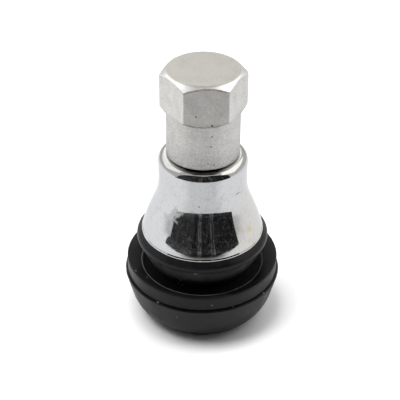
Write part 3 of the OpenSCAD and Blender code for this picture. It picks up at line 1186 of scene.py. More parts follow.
@dataclass(frozen=True)
class MirrorPlate(Finish):
    """Bright chromium plate with faint smears, a painted highlight on the lip with painted shade at its
    front, stains, dots, a painted dark reflection and clouds.
    """

    stains: tuple[PlacedMark, ...]
    dots_and_dark_reflection: tuple[PlacedMark, ...]
    clouds: tuple[PlacedMark, ...]
    colour: Colour = (0.49, 0.495, 0.507)
    warm_colour: Colour = (0.5, 0.49, 0.46)
    edge_tint: Colour = (0.82, 0.82, 0.83)
    smear_colour: Colour = (0.31, 0.31, 0.29)
    stain_colour: Colour = (0.47, 0.435, 0.27)
    # Shared by the real dots and by a painted dark reflection low in front.
    dot_and_reflection_colour: Colour = (0.12, 0.12, 0.11)
    cloud_colour: Colour = (0.56, 0.56, 0.555)
    # Painted highlight: the inside of the mouth's lip is near white and rough.
    lip_highlight_colour: Colour = (0.95, 0.94, 0.9)
    # Painted shade: the dark crescent at the front middle of the lip.
    crescent_shade_colour: Colour = (0.06, 0.055, 0.045)
    roughness: float = 0.04
    smear_roughness: float = 0.075
    lip_dulling: float = 0.55
    stain_dulling: float = 0.12
    cloud_dulling: float = 0.35
    cloud_veil: float = 0.55
    stain_strength: float = 0.8
    mouth_smear: float = 0.4
    least_grime: float = 0.15
    patch_grime: float = 0.6
    warm_thinning: float = 0.5
    cloud_thinning: float = 0.2
    dustiness: float = 0.1
    relief: float = 0.004
    patches: Mottling = Mottling(3.0, 0.35, 0.65, 2.0)
    grime: Mottling = Mottling(0.9, 0.52, 0.78, 5.0)
    dust: Mottling = Mottling(0.26, 0.53, 0.63)
    ripple: Mottling = Mottling(1.1, 0.0, 1.0, 2.0)
    right: Fade = Fade(1.0, 6.0)
    low: Fade = Fade(21.0, 15.0)
    mouth: Fade = Fade(22.4, 23.2)
    lip: Zone = Zone(across=(Fade(4.8, 4.6),), up=(Fade(22.7, 23.0),))
    # Where the lip's painted shade lies: its middle, seen from the front.
    crescent_middle: Fade = Fade(3.0, 1.6)
    crescent_front: Fade = Fade(-3.0, -3.6)

    def dress(self, on: Surface) -> None:
        """Mixes a warm tint near the mouth and low on the right, smears, the lip's painted highlight and
        shade, marks and dust.

        Args:
            on: The surface that gets the finish.
        """
        graph = on.graph
        patches = self.patches.mask(on)
        grime = self.grime.mask(on)
        mouth = self.mouth.over(on.z)
        right = self.right.over(on.x) * self.low.over(on.z)
        warm = right.apply("MAXIMUM", mouth) * patches.thinned(self.warm_thinning)
        colour = graph.blend(warm, self.colour, self.warm_colour)
        colour = graph.blend(mouth * self.mouth_smear, colour, self.smear_colour)
        smears = grime * (patches * self.patch_grime + self.least_grime)
        colour = graph.blend(smears, colour, self.smear_colour)
        # The lip gets a painted highlight, and its front middle a painted shade.
        lip = self.lip.mask(on)
        darkened = lip * self.crescent_middle.over(on.x.apply("ABSOLUTE")) * self.crescent_front.over(on.y)
        stain = marked(on, self.stains)
        dot_and_reflection = marked(on, self.dots_and_dark_reflection)
        cloud = marked(on, self.clouds) * grime.thinned(self.cloud_thinning)
        for mask, tone in (
            (lip, self.lip_highlight_colour),
            (darkened, self.crescent_shade_colour),
            (stain * self.stain_strength, self.stain_colour),
            (dot_and_reflection, self.dot_and_reflection_colour),
            (cloud, self.cloud_colour),
        ):
            colour = graph.blend(mask, colour, tone)
        dulling = lip * self.lip_dulling + stain * self.stain_dulling + cloud * self.cloud_dulling
        roughness = graph.ramp(patches, 0.0, 1.0, self.roughness, self.smear_roughness) + dulling
        metal = 1.0 - self.dust.mask(on) * self.dustiness - cloud * self.cloud_veil
        on.shade(
            self.ripple.mask(on),
            self.relief,
            Base_Color=colour,
            Roughness=roughness,
            Metallic=metal,
            Specular_Tint=(*self.edge_tint, 1.0),
        )


@dataclass(frozen=True)
class SatinPlate(Finish):
    """Dull plate on a turned piece, with mottling, pits, painted shade lines, painted highlights on the
    chamfers, a painted dark reflection on the front flat and a darker foot.
    """

    pits: tuple[PlacedMark, ...]
    painted_shade_lines: tuple[ConeBand, ...]
    chamfer_highlight: ConeBand
    colour: Colour = (0.61, 0.6, 0.583)
    patch_colour: Colour = (0.465, 0.46, 0.44)
    # Also the colour of the painted shade lines and of the front flat's painted dark reflection.
    pit_and_shade_colour: Colour = (0.1, 0.085, 0.075)
    # The skirt is darker, more towards its foot: grainy dirt, with painted shade near the sleeve's mouth.
    foot_dirt_and_shade_colour: Colour = (0.25, 0.245, 0.24)
    top_colour: Colour = (0.565, 0.547, 0.484)
    # Painted highlight on the chamfers, strongest in front.
    chamfer_highlight_colour: Colour = (0.93, 0.925, 0.905)
    edge_tint: Colour = (0.75, 0.75, 0.76)
    roughness: float = 0.33
    patch_roughness: float = 0.43
    pit_roughness: float = 0.2
    patches: Mottling = Mottling(1.6, 0.35, 0.65, 4.0)
    fine: Mottling = Mottling(0.24, 0.38, 0.62)
    fine_share: float = 0.45
    specks: Speckling = Speckling(0.9, 0.3, 0.07)
    speck_strength: float = 0.5
    top: Fade = Fade(34.7, 34.84)
    top_patches: float = 0.6
    skirt: Fade = Fade(30.15, 29.9)
    skirt_tone: float = 0.25
    foot: Fade = Fade(27.5, 23.4)
    foot_tone: float = 0.3
    least_foot: float = 0.7
    fine_foot: float = 0.4
    # Painted dark reflection: the flat that faces the camera is darker.
    front_flat_reflection_keep: float = 0.8
    flat_reach: float = 4.56
    flat_turn: float = 4.2
    chamfer_top: Fade = Fade(34.85, 34.78)
    chamfer_front: Fade = Fade(0.5, -3.2, 0.3)
    chamfer_patches: float = 0.2
    line_front: Fade = Fade(-3.6, -4.3)
    line_thinning: float = 0.5
    ring_size: float = 0.12
    ring_height: float = 0.5
    fine_height: float = 0.6
    pit_depth: float = 1.2
    relief: float = 0.006

    def dress(self, on: Surface) -> None:
        """Mixes large and small patches, the zones of the cap's shape with painted shade and highlights,
        lathe rings and pits.

        Args:
            on: The surface that gets the finish.
        """
        graph = on.graph
        patches = self.patches.mask(on)
        fine = self.fine.mask(on)
        specks = self.specks.mask(on) * self.speck_strength
        pits = most([specks, marked(on, self.pits)])
        worn = patches * (1.0 - self.fine_share) + fine * self.fine_share
        top = self.top.over(on.z) * (1.0 - patches * self.top_patches)
        # The skirt is darker, more towards its foot: grainy dirt, with painted shade near the sleeve's mouth.
        skirt = self.skirt.over(on.z) * self.skirt_tone + self.foot.over(on.z) * self.foot_tone
        skirt = skirt * (fine * self.fine_foot + self.least_foot)
        # Painted highlight on the chamfers.
        chamfer_highlight = self.chamfer_highlight.mask(on) * self.chamfer_top.over(on.z)
        chamfer_highlight = chamfer_highlight * self.chamfer_front.over(on.y) * (1.0 - patches * self.chamfer_patches)
        tone: Colour | Term = self.colour
        for mask, colour in (
            (worn, self.patch_colour),
            (top, self.top_colour),
            (skirt, self.foot_dirt_and_shade_colour),
            # Painted dark reflection on the front flat.
            (self._flat(on) * (1.0 - self.front_flat_reflection_keep), self.pit_and_shade_colour),
            (chamfer_highlight, self.chamfer_highlight_colour),
        ):
            tone = graph.blend(mask, tone, colour)
        # Painted shade lines along the hexagon's edges, in front only.
        near = self.line_front.over(on.y) * fine.thinned(self.line_thinning)
        for line in self.painted_shade_lines:
            tone = graph.blend(line.mask(on) * near, tone, self.pit_and_shade_colour)
        rough = graph.ramp(fine, 0.0, 1.0, self.roughness, self.patch_roughness)
        rings = TurningMarks.place(on, Ring_Size=self.ring_size * MM)
        on.shade(
            rings * self.ring_height + fine * self.fine_height - pits * self.pit_depth,
            self.relief,
            Base_Color=graph.blend(pits, tone, self.pit_and_shade_colour),
            Roughness=rough + pits * self.pit_roughness,
            Metallic=1.0,
            Specular_Tint=(*self.edge_tint, 1.0),
        )

    def _flat(self, on: Surface) -> Term:
        """The hexagon's flat in front, as a mask."""
        turn = math.radians(self.flat_turn)
        return (on.x * math.sin(turn) - on.y * math.cos(turn)).apply("GREATER_THAN", self.flat_reach * MM)


@dataclass(frozen=True)
class TurnedBrass(Finish):
    """Turned brass with lathe rings, slightly tarnished patches and a lower end that is darker, less so on
    the right.
    """

    colour: Colour = (0.78, 0.62, 0.32)
    tarnish: Colour = (0.5, 0.36, 0.17)
    roughness: float = 0.2
    low_dark_colour: Colour = (0.02, 0.018, 0.015)
    dark_below: float = -9.0
    dark_edge: float = 0.5
    dark_waver: float = 0.4
    dark_side: Fade = Fade(4.0, 1.0, 0.7)
    tarnish_share: float = 0.6
    tarnish_dulling: float = 0.16
    dark_dulling: float = 0.4
    ring_size: float = 0.06
    relief: float = 0.005
    patches: Mottling = Mottling(1.6, 0.42, 0.75, 4.0)

    def dress(self, on: Surface) -> None:
        """Mixes tarnish, the darker lower end and rings.

        Args:
            on: The surface that gets the finish.
        """
        graph = on.graph
        patches = self.patches.mask(on)
        line = Fade(self.dark_below + self.dark_edge, self.dark_below)
        darkened = line.over(on.z + patches * (self.dark_waver * MM)) * self.dark_side.over(on.x)
        tone = graph.blend(patches * self.tarnish_share, self.colour, self.tarnish)
        rough = graph.ramp(patches, 0.0, 1.0, self.roughness, self.roughness + self.tarnish_dulling)
        on.shade(
            TurningMarks.place(on, Ring_Size=self.ring_size * MM),
            self.relief,
            Base_Color=graph.blend(darkened, tone, self.low_dark_colour),
            Roughness=rough + darkened * self.dark_dulling,
            Metallic=1.0,
        )


@dataclass(frozen=True)
class PatchyFinish(Finish):
    """One colour that goes over into another in patches, with its gloss and its grain."""

    colour: Colour
    patch_colour: Colour
    patches: Mottling
    patch_share: float
    roughness: float
    dull_roughness: float
    relief: float
    metallic: float = 0.0

    def dress(self, on: Surface) -> None:
        """Mixes the two colours and their gloss.

        Args:
            on: The surface that gets the finish.
        """
        graph = on.graph
        patches = self.patches.mask(on)
        on.shade(
            patches,
            self.relief,
            Base_Color=graph.blend(patches * self.patch_share, self.colour, self.patch_colour),
            Roughness=graph.ramp(patches, 0.0, 1.0, self.roughness, self.dull_roughness),
            Metallic=self.metallic,
        )


@dataclass(frozen=True)
class Finishes:
    """The finishes of the whole valve."""

    rubber: Finish = MouldedRubber(
        "black rubber",
        # The ring gets a painted highlight, the hollow painted shade and the neck under the lip painted
        # light.
        highlight_rings=(Ring(7.8, 7.19, 0.1),),
        shaded_hollows=(Zone(across=(Fade(7.68, 7.56),), up=(Fade(8.3, 7.6),)),),
        painted_light_zones=(Zone(up=(Fade(7.0, 10.0), Fade(11.2, 10.5))),),
        flecks=(
            PlacedMark((-0.8, -8.09, 10.74), 0.22),
            PlacedMark((-2.68, -6.4, 8.4), 0.2, (1.8, 1.0, 0.4)),
            PlacedMark((-2.95, -5.85, 7.35), 0.17, (1.6, 0.6, 0.5)),
            PlacedMark((-2.4, -5.95, 7.35), 0.17, (1.6, 0.6, 0.5)),
            PlacedMark((-5.45, -7.96, 6.1), 0.2),
            PlacedMark((-8.4, -4.03, 7.97), 0.16),
            PlacedMark((-6.95, -4.61, 7.43), 0.15),
            PlacedMark((-3.06, -9.08, 4.66), 0.1),
            PlacedMark((1.29, -9.56, 7.0), 0.1),
            PlacedMark((3.89, -8.65, 6.1), 0.18),
            PlacedMark((7.84, -5.92, 6.09), 0.16),
        ),
    )
    sleeve: Finish = MirrorPlate(
        "bright plate",
        stains=(PlacedMark((5.78, -3.92, 14.62), 0.5, (0.9, 0.9, 0.8), 0.6),),
        dots_and_dark_reflection=(
            PlacedMark((-0.43, -5.58, 19.04), 0.13),
            PlacedMark((4.25, -3.55, 19.7), 0.62, (1.0, 1.0, 7.5), 0.25),
            # Not a dot: a painted dark reflection, a thin band above the lower edge in front.
            PlacedMark((0.1, -7.55, 12.87), 3.2, (1.0, 1.0, 6.0), 0.3),
        ),
        clouds=(PlacedMark((-3.3, -4.95, 17.45), 1.05, (1.0, 1.0, 0.8), 1.1),),
    )
    cap: Finish = SatinPlate(
        "satin plate",
        pits=(
            PlacedMark((-0.86, -4.68, 31.1), 0.15),
            PlacedMark((1.01, -4.54, 29.83), 0.17),
            PlacedMark((1.03, -4.4, 28.24), 0.13),
            PlacedMark((0.93, -4.42, 26.87), 0.12),
            PlacedMark((1.31, -4.32, 24.28), 0.13),
            PlacedMark((0.6, -4.48, 24.52), 0.11),
        ),
        # Painted shade lines along the hexagon's lower and upper edges, and the band of the painted chamfer
        # highlight.
        painted_shade_lines=(ConeBand(26.241, -0.7265, strength=0.7), ConeBand(37.76, 0.6873, strength=0.6)),
        chamfer_highlight=ConeBand(37.866, 0.6873, Fade(0.12, 0.05)),
    )
    stem: Finish = TurnedBrass("turned brass", dark_below=24.6)
    core: Finish = TurnedBrass("fine turned brass", (0.8, 0.66, 0.38), (0.56, 0.42, 0.22), 0.16)
    spring: Finish = PatchyFinish(
        "spring wire",
        colour=(0.6, 0.61, 0.63),
        patch_colour=(0.38, 0.38, 0.4),
        patches=Mottling(0.5, 0.35, 0.7),
        patch_share=0.6,
        roughness=0.24,
        dull_roughness=0.39,
        relief=0.002,
        metallic=1.0,
    )
    seal: Finish = PatchyFinish(
        "red seal rubber",
        colour=(0.25, 0.12, 0.09),
        patch_colour=(0.34, 0.22, 0.18),
        patches=Mottling(0.7, 0.4, 0.75, 4.0),
        patch_share=0.7,
        roughness=0.6,
        dull_roughness=0.8,
        relief=0.006,
    )
    cup_seal: Finish = MouldedRubber(
        "black seal rubber", colour=(0.02, 0.02, 0.021), specks=Speckling(1.3, 0.1, 0.055)
    )


# Sub-assemblies


@dataclass(frozen=True)
class Part:
    """What a piece stands for: the body that carries it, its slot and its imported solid."""

    body: Body
    slot: Slot
    node: str


@dataclass
class Workshop:
    """What the sub-assemblies share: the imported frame, the trees and the finishes."""

    frame: dict
    finishes: Finishes = field(default_factory=Finishes)
    turning: TurningTree = field(default_factory=TurningTree)
    coil: CoilTree = field(default_factory=CoilTree)

    def turn(self, name: str, corners: list[Corner], finish: Finish, part: Part, **values: object) -> Piece:
        """Turns an outline into a finished piece.

        Args:
            name: The piece's name.
            corners: Its closed outline.
            finish: Its finish.
            part: What it stands for.
            **values: Other inputs of the turning tree.

        Returns:
            The finished piece.
        """
        outline = Outline(tuple(corners)).mesh(name + "_outline")
        mesh = self.turning.run(name, outline, Material=finish.material(), **values)
        return self.hand_over(face_outwards(mesh), part)

    def copy_solid(self, node: str, bevel: float, finish: Finish) -> Mesh:
        """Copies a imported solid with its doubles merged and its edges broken.

        Args:
            node: The solid's name.
            bevel: Width of the broken edges in millimetres.
            finish: The copy's finish.

        Returns:
            The finished mesh.
        """
        mesh = self.frame["nodes"][node].data.copy()
        shape = bmesh.new()
        shape.from_mesh(mesh)
        bmesh.ops.remove_doubles(shape, verts=shape.verts, dist=1e-7)
        bmesh.ops.dissolve_limit(shape, angle_limit=FLAT_ANGLE, verts=shape.verts, edges=shape.edges)
        edges = [e for e in shape.edges if e.is_manifold and e.calc_face_angle(0.0) > EDGE_ANGLE]
        bmesh.ops.bevel(
            shape, geom=edges, offset=bevel * MM, segments=2, affect="EDGES", profile=0.5, clamp_overlap=True
        )
        for face in shape.faces:
            face.smooth = True
        for edge in shape.edges:
            edge.smooth = not edge.is_manifold or edge.calc_face_angle(0.0) < SMOOTH_ANGLE
        shape.to_mesh(mesh)
        shape.free()
        mesh.materials.clear()
        mesh.materials.append(finish.material())
        return mesh

    def hand_over(self, mesh: Mesh, part: Part) -> Piece:
        """Puts a finished mesh on the body that carries it.

        Args:
            mesh: The finished mesh.
            part: What it stands for.

        Returns:
            The new piece.
        """
        piece = bpy.data.objects.new(mesh.name, mesh)
        bpy.context.scene.collection.objects.link(piece)
        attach(piece, part.body.value)
        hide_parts(part.node)
        LOG.info("%s: %d faces on %s", piece.name, len(mesh.polygons), part.body.value)
        return piece


def face_outwards(mesh: Mesh) -> Mesh:
    """Turns a closed mesh's faces outwards, if they point inwards.

    Args:
        mesh: The mesh, which is changed.

    Returns:
        The same mesh.
    """
    shape = bmesh.new()
    shape.from_mesh(mesh)
    if shape.calc_volume(signed=True) < 0:
        bmesh.ops.reverse_faces(shape, faces=shape.faces)
    shape.to_mesh(mesh)
    shape.free()
    return mesh


class SubAssembly(ABC):
    """A group of pieces that are built and dressed together."""

    @abstractmethod
    def build(self, shop: Workshop) -> list[Piece]:
        """Builds, dresses and hands over the pieces.

        Args:
            shop: The shared trees, finishes and frame.

        Returns:
            The finished pieces.
        """


@dataclass
class BellSleeve(SubAssembly):
    """The drawn and plated sleeve: a bell with a rolled mouth."""

    low_d: float = 15.44
    neck_d: float = 11.1
    wall: float = 0.3
    rim_lean: float = 13.5
    bell_lean: float = 21.5
    low_r: float = 22.0
    high_r: float = 8.4
    roll_r: float = 0.96
    mouth_r: float = 4.19
    flare_h: float = 0.44
    lip_round: float = 0.08

    def side(self, inset: float, steps: int = 24, flared: bool = False) -> list[Corner]:
        """The bell from its lower edge to its neck.

        Args:
            inset: How far it is moved inwards.
            steps: How many steps each of its two arcs is drawn in.
            flared: Whether it starts above the turned-out edge.

        Returns:
            The corners.
        """
        rim, lean = math.radians(self.rim_lean), math.radians(self.bell_lean)
        low_c = (self.low_d / 2 - self.low_r * math.cos(rim), AT.sleeve - self.low_r * math.sin(rim))
        end = (low_c[0] + self.low_r * math.cos(lean), low_c[1] + self.low_r * math.sin(lean))
        start_r = self.neck_d / 2 + self.high_r * (1 - math.cos(lean))
        neck_z = end[1] + (end[0] - start_r) / math.tan(lean) + self.high_r * math.sin(lean)
        low = arc(low_c, self.low_r - inset, self.rim_lean, self.bell_lean, steps, step=0.3)
        low = [c for c in low if c.z > AT.sleeve + self.flare_h] if flared else low
        high_c = (self.neck_d / 2 + self.high_r, neck_z)
        return low + arc(high_c, self.high_r + inset, 180 + self.bell_lean, 180, steps, step=0.3)

    def flare(self) -> list[Corner]:
        """The lower edge, which is turned out a little by the press."""
        r = self.low_d / 2
        return [
            Corner(r - 0.04, AT.sleeve, round=0.015),
            Corner(r, AT.sleeve + 0.03, round=0.02),
            Corner(r - 0.02, AT.sleeve + self.flare_h * 0.3, round=0.05),
            Corner(r - 0.105, AT.sleeve + self.flare_h * 0.65, round=0.05),
        ]

    def inside(self, inset: float, low_z: float, steps: int = 24) -> list[Corner]:
        """The bell's inside above its lower edge, which is cut off flat."""
        edge = Corner(self.low_d / 2 - inset / math.cos(math.radians(self.rim_lean)), low_z)
        return [edge] + [c for c in self.side(inset, steps) if c.z > AT.sleeve + 0.02]

    def roll(self, inset: float) -> list[Corner]:
        """The rolled mouth from the neck over its crest, moved inwards by inset."""
        centre = (self.neck_d / 2 - self.roll_r, AT.mouth - self.roll_r)
        past = math.degrees(math.asin((centre[0] - self.mouth_r) / self.roll_r))
        return arc(centre, self.roll_r - inset, 0, 90 + past, 30)

    def build(self, shop: Workshop) -> list[Piece]:
        """Builds the one piece of sheet metal.

        Args:
            shop: The shared trees, finishes and frame.

        Returns:
            The sleeve.
        """
        outer = self.flare() + self.side(0.0, 48, True) + self.roll(0.0)
        inner = self.inside(self.wall, AT.sleeve) + self.roll(self.wall)
        outer[-1] = replace(outer[-1], round=self.lip_round)
        inner[-1] = replace(inner[-1], round=self.lip_round)
        part = Part(Body.VALVE, Slot.SLEEVE, "sleeve")
        return [shop.turn("bell_sleeve", outer + inner[::-1], shop.finishes.sleeve, part, Segments=256)]


@dataclass
class BrassStem(SubAssembly):
    """The turned stem that the rubber is moulded on."""

    thread_d: float = 7.7
    thread_depth: float = 0.4
    thread_pitch: float = 0.79375
    tip_chamfer: float = 0.5
    body_d: float = 6.9
    body_l: float = 8.6
    shank_d: float = 5.4
    flange_d: float = 7.6
    flange_t: float = 0.9
    base: float = 2.4
    barbs: int = 4
    barb_h: float = 0.35
    passage_d: float = 2.7
    bore_d: float = 5.3
    bore_thread_depth: float = 0.3
    core_pitch: float = 0.7056
    throat_d: float = 4.16
    seat_h: float = 1.0
    seat_flare: float = 0.2
    mouth_chamfer: float = 0.3

    def side(self, gap: float) -> list[Corner]:
        """The stem's outside from its foot to the run-out of its thread.

        Args:
            gap: How far it is moved outwards.

        Returns:
            The corners.
        """
        flange_top = self.base + self.flange_t
        body_z = AT.runout - self.thread_pitch - self.body_l
        cone_z = body_z - (self.body_d - self.shank_d) / 2
        pitch = (cone_z - flange_top) / (self.barbs + 1)
        shank = self.shank_d / 2 + gap
        corners = [
            Corner(self.flange_d / 2 + gap, self.base - gap),
            Corner(self.flange_d / 2 + gap, flange_top + gap),
            Corner(shank, flange_top + gap),
        ]
        for n in range(self.barbs):
            z = flange_top + pitch * (n + 0.75)
            corners += [Corner(shank, z), Corner(shank + self.barb_h, z), Corner(shank, z + pitch / 2)]
        body = self.body_d / 2 + gap
        return corners + [Corner(shank, cone_z), Corner(body, body_z), Corner(body, AT.runout)]

    def build(self, shop: Workshop) -> list[Piece]:
        """Builds the one turned piece, with both of its threads.

        Args:
            shop: The shared trees, finishes and frame.

        Returns:
            The stem.
        """
        r = self.thread_d / 2
        bore = self.bore_d / 2
        throat = self.throat_d / 2
        seat = throat + self.seat_flare
        cut = {"pitch": self.thread_pitch, "step": self.thread_pitch / 14}
        core = {"pitch": self.core_pitch, "step": self.core_pitch / 12}
        start = AT.runout + r - self.body_d / 2
        corners = [
            Corner(self.passage_d / 2, self.base),
            *self.side(0.0),
            Corner(r, start, **cut),
            Corner(r, start + 0.5, depth=self.thread_depth, **cut),
            Corner(r, AT.tip - self.tip_chamfer, depth=self.thread_depth, **cut),
            Corner(r - self.tip_chamfer, AT.tip, round=0.06),
            Corner(bore + self.mouth_chamfer, AT.tip, round=0.05),
            Corner(bore, AT.tip - self.mouth_chamfer, pitch=self.core_pitch, step=0.06),
            Corner(bore, AT.tip - self.mouth_chamfer - 0.4, depth=-self.bore_thread_depth, **core),
            Corner(bore, AT.core_thread + 0.5, depth=-self.bore_thread_depth, **core),
            Corner(bore, AT.core_thread, pitch=self.core_pitch),
            Corner(seat, AT.core_thread - bore + seat),
            Corner(seat, AT.seat + self.seat_h),
            Corner(throat, AT.seat),
            Corner(throat, AT.throat),
            Corner(self.passage_d / 2, AT.throat - throat + self.passage_d / 2),
        ]
        part = Part(Body.VALVE, Slot.STEM, "stem")
        return [shop.turn("threaded_stem", corners, shop.finishes.stem, part, Segments=144)]


@dataclass
class RubberBody(SubAssembly):
    """The moulded body: dome, band, dished flange, groove, lip and the neck in the sleeve."""

    sleeve: BellSleeve
    stem: BrassStem
    foot_d: float = 13.86
    hollow_d: float = 8.6
    hollow_depth: float = 1.6
    inlet_d: float = 4.0
    dome_d: float = 19.92
    dome_taper: float = 14.5
    belly_r: float = 5.75
    dome_edge_r: float = 0.14
    band_d: float = 19.3
    band_edge_r: float = 0.12
    crease_w: float = 0.16
    dish_d: float = 15.58
    dish_step: float = 0.22
    mould_line_h: float = 0.06
    neck_d: float = 12.44
    lip_d: float = 16.68
    lip_crest_r: float = 0.782
    bond_gap: float = 0.03
    face_gap: float = 0.01

    def dome(self) -> list[Corner]:
        """The dome's side from the ground up to its top edge."""
        taper = math.radians(self.dome_taper)
        span = self.foot_d / 2 - self.dome_d / 2 + AT.step * math.tan(taper)
        lean = self.dome_taper + math.degrees(math.acos(1 + span * math.cos(taper) / self.belly_r))
        centre = (
            self.foot_d / 2 - self.belly_r * math.cos(math.radians(lean)),
            self.belly_r * math.sin(math.radians(lean)),
        )
        edge_c = (
            self.dome_d / 2 - self.dome_edge_r / math.cos(taper) - self.dome_edge_r * math.tan(taper),
            AT.step - self.dome_edge_r,
        )
        edge = arc(edge_c, self.dome_edge_r, -self.dome_taper, 90, 8, ragged=(0.045, 0.075))
        return arc(centre, self.belly_r, -lean, -self.dome_taper, 36) + edge

    def lip_crest(self) -> list[Corner]:
        """The lip's crest, an arc between the neck's side and the slope to the sleeve."""
        r = self.lip_crest_r
        centre = (self.lip_d / 2 - r, AT.lip)
        low = (centre[0] - self.neck_d / 2, centre[1] - AT.seal)
        high = (self.sleeve.low_d / 2 - centre[0], AT.sleeve - self.face_gap - centre[1])
        taper = math.atan2(low[0], low[1]) + math.asin(r / math.hypot(*low))
        shoulder = math.atan2(high[1], high[0]) - math.acos(r / math.hypot(*high))
        return arc(centre, r, -math.degrees(taper), math.degrees(shoulder), 20)

    def collar(self) -> list[Corner]:
        """The side from the crease up to the sleeve's lower edge."""
        band = self.band_d / 2
        crease = band - self.crease_w
        dish = self.dish_d / 2
        edge_c = (band - self.band_edge_r, AT.edge - self.band_edge_r)
        dish_lean = math.degrees(math.atan((AT.edge - AT.mould_line) / (band - dish)))
        return [
            Corner(crease, AT.step, ragged=(0.05, 0.0)),
            Corner(crease, AT.step + self.crease_w / 2, ragged=(0.05, 0.02)),
            Corner(band, AT.step + self.crease_w, round=0.08, ragged=(0.045, 0.08), step=0.4),
            *arc(edge_c, self.band_edge_r, 0, 90 + dish_lean, 8),
            Corner(dish + 0.05, AT.mould_line + 0.024),
            Corner(dish + 0.02, AT.mould_line + self.mould_line_h, round=0.02),
            Corner(dish, AT.mould_line, round=0.02),
            Corner(dish, AT.seal + self.dish_step / 3, round=0.03),
            Corner(dish - self.dish_step, AT.seal, round=0.08),
            Corner(self.neck_d / 2, AT.seal, round=0.15),
            *self.lip_crest(),
            Corner(self.sleeve.low_d / 2, AT.sleeve - self.face_gap, round=0.05),
        ]

    def build(self, shop: Workshop) -> list[Piece]:
        """Builds the one moulding.

        Args:
            shop: The shared trees, finishes and frame.

        Returns:
            The body.
        """
        inset = self.sleeve.wall + self.bond_gap
        bed = [c for c in self.stem.side(self.bond_gap) if c.z < AT.rubber_top]
        corners = [
            Corner(self.hollow_d / 2, 0.0, round=0.15),
            *self.dome(),
            *self.collar(),
            *(replace(c, step=0.0) for c in self.sleeve.inside(inset, AT.sleeve - self.face_gap, 6)),
            Corner(self.sleeve.neck_d / 2 - inset, AT.rubber_top),
            Corner(self.stem.body_d / 2 + self.bond_gap, AT.rubber_top),
            *bed[::-1],
            Corner(self.inlet_d / 2, self.stem.base - self.bond_gap),
            Corner(self.inlet_d / 2, self.hollow_depth, round=0.2),
        ]
        part = Part(Body.VALVE, Slot.RUBBER, "rubber_body")
        values = {"Segments": 288, "Ragged_Waves": 420.0, "Sharp_Angle": 0.75}
        return [shop.turn("moulded_body", corners, shop.finishes.rubber, part, **values)]


@dataclass
class ScrewCap(SubAssembly):
    """The hexagon cap, with its inside thread, and the washer under its roof."""

    across_flats: float = 9.2
    turn: float = 4.2
    hex_h: float = 4.76
    top_d: float = 8.75
    top_slope: float = 34.5
    low_slope: float = 36.0
    skirt_d: float = 9.04
    bore_r: float = 3.9
    thread_depth: float = 0.4
    thread_pitch: float = 0.79375
    mouth_chamfer: float = 0.3
    corner_round: float = 0.12
    washer_d: float = 7.7
    washer_t: float = 0.8
    washer_hole_d: float = 4.4
    washer_gap: float = 0.005

    def outline(self) -> list[Corner]:
        """The cap's outline through a corner of the hexagon."""
        corner_r = self.across_flats / 2 / math.cos(math.radians(30))
        top_tan = math.tan(math.radians(self.top_slope))
        low_tan = math.tan(math.radians(self.low_slope))
        top_z = AT.top - (corner_r - self.top_d / 2) * top_tan
        low_z = AT.top - self.hex_h
        skirt_r = self.skirt_d / 2
        bore_top = AT.roof - 0.9
        cut = {"pitch": self.thread_pitch, "step": self.thread_pitch / 14}
        return [
            Corner(0.0, AT.top),
            Corner(self.top_d / 2, AT.top, round=0.05),
            Corner(corner_r, top_z, round=0.09, follow=(-1.0, top_tan)),
            Corner(corner_r, low_z, round=0.07, follow=(-1.0, -low_tan)),
            Corner(skirt_r, low_z - (corner_r - skirt_r) * low_tan),
            Corner(skirt_r, AT.skirt, round=0.14),
            Corner(self.bore_r + self.mouth_chamfer, AT.skirt, round=0.05),
            Corner(self.bore_r, AT.skirt + self.mouth_chamfer, **cut),
            Corner(self.bore_r, AT.skirt + self.mouth_chamfer + 0.5, depth=self.thread_depth, **cut),
            Corner(self.bore_r, bore_top - 0.5, depth=self.thread_depth, **cut),
            Corner(self.bore_r, bore_top, pitch=self.thread_pitch),
            Corner(self.bore_r, AT.roof),
            Corner(0.0, AT.roof),
        ]

    def build(self, shop: Workshop) -> list[Piece]:
        """Builds the cap and its washer.

        Args:
            shop: The shared trees, finishes and frame.

        Returns:
            The two pieces.
        """
        cap = shop.turn(
            "hexagon_cap",
            self.outline(),
            shop.finishes.cap,
            Part(Body.CAP, Slot.CAP, "cap"),
            Segments=264,
            Across_Flats=self.across_flats * MM,
            Hexagon_Turn=math.radians(self.turn),
            Corner_Rounding=self.corner_round * MM,
            Corner_Crowding=1.9,
        )
        hole, side = self.washer_hole_d / 2, self.washer_d / 2
        low = AT.tip + self.washer_gap
        ring = washer(hole, side, low, low + self.washer_t, (0.05, 0.08, 0.08, 0.05))
        part = Part(Body.SEAL, Slot.SEAL, "cap_washer")
        return [cap, shop.turn("cap_seal_ring", ring, shop.finishes.seal, part, Segments=96)]


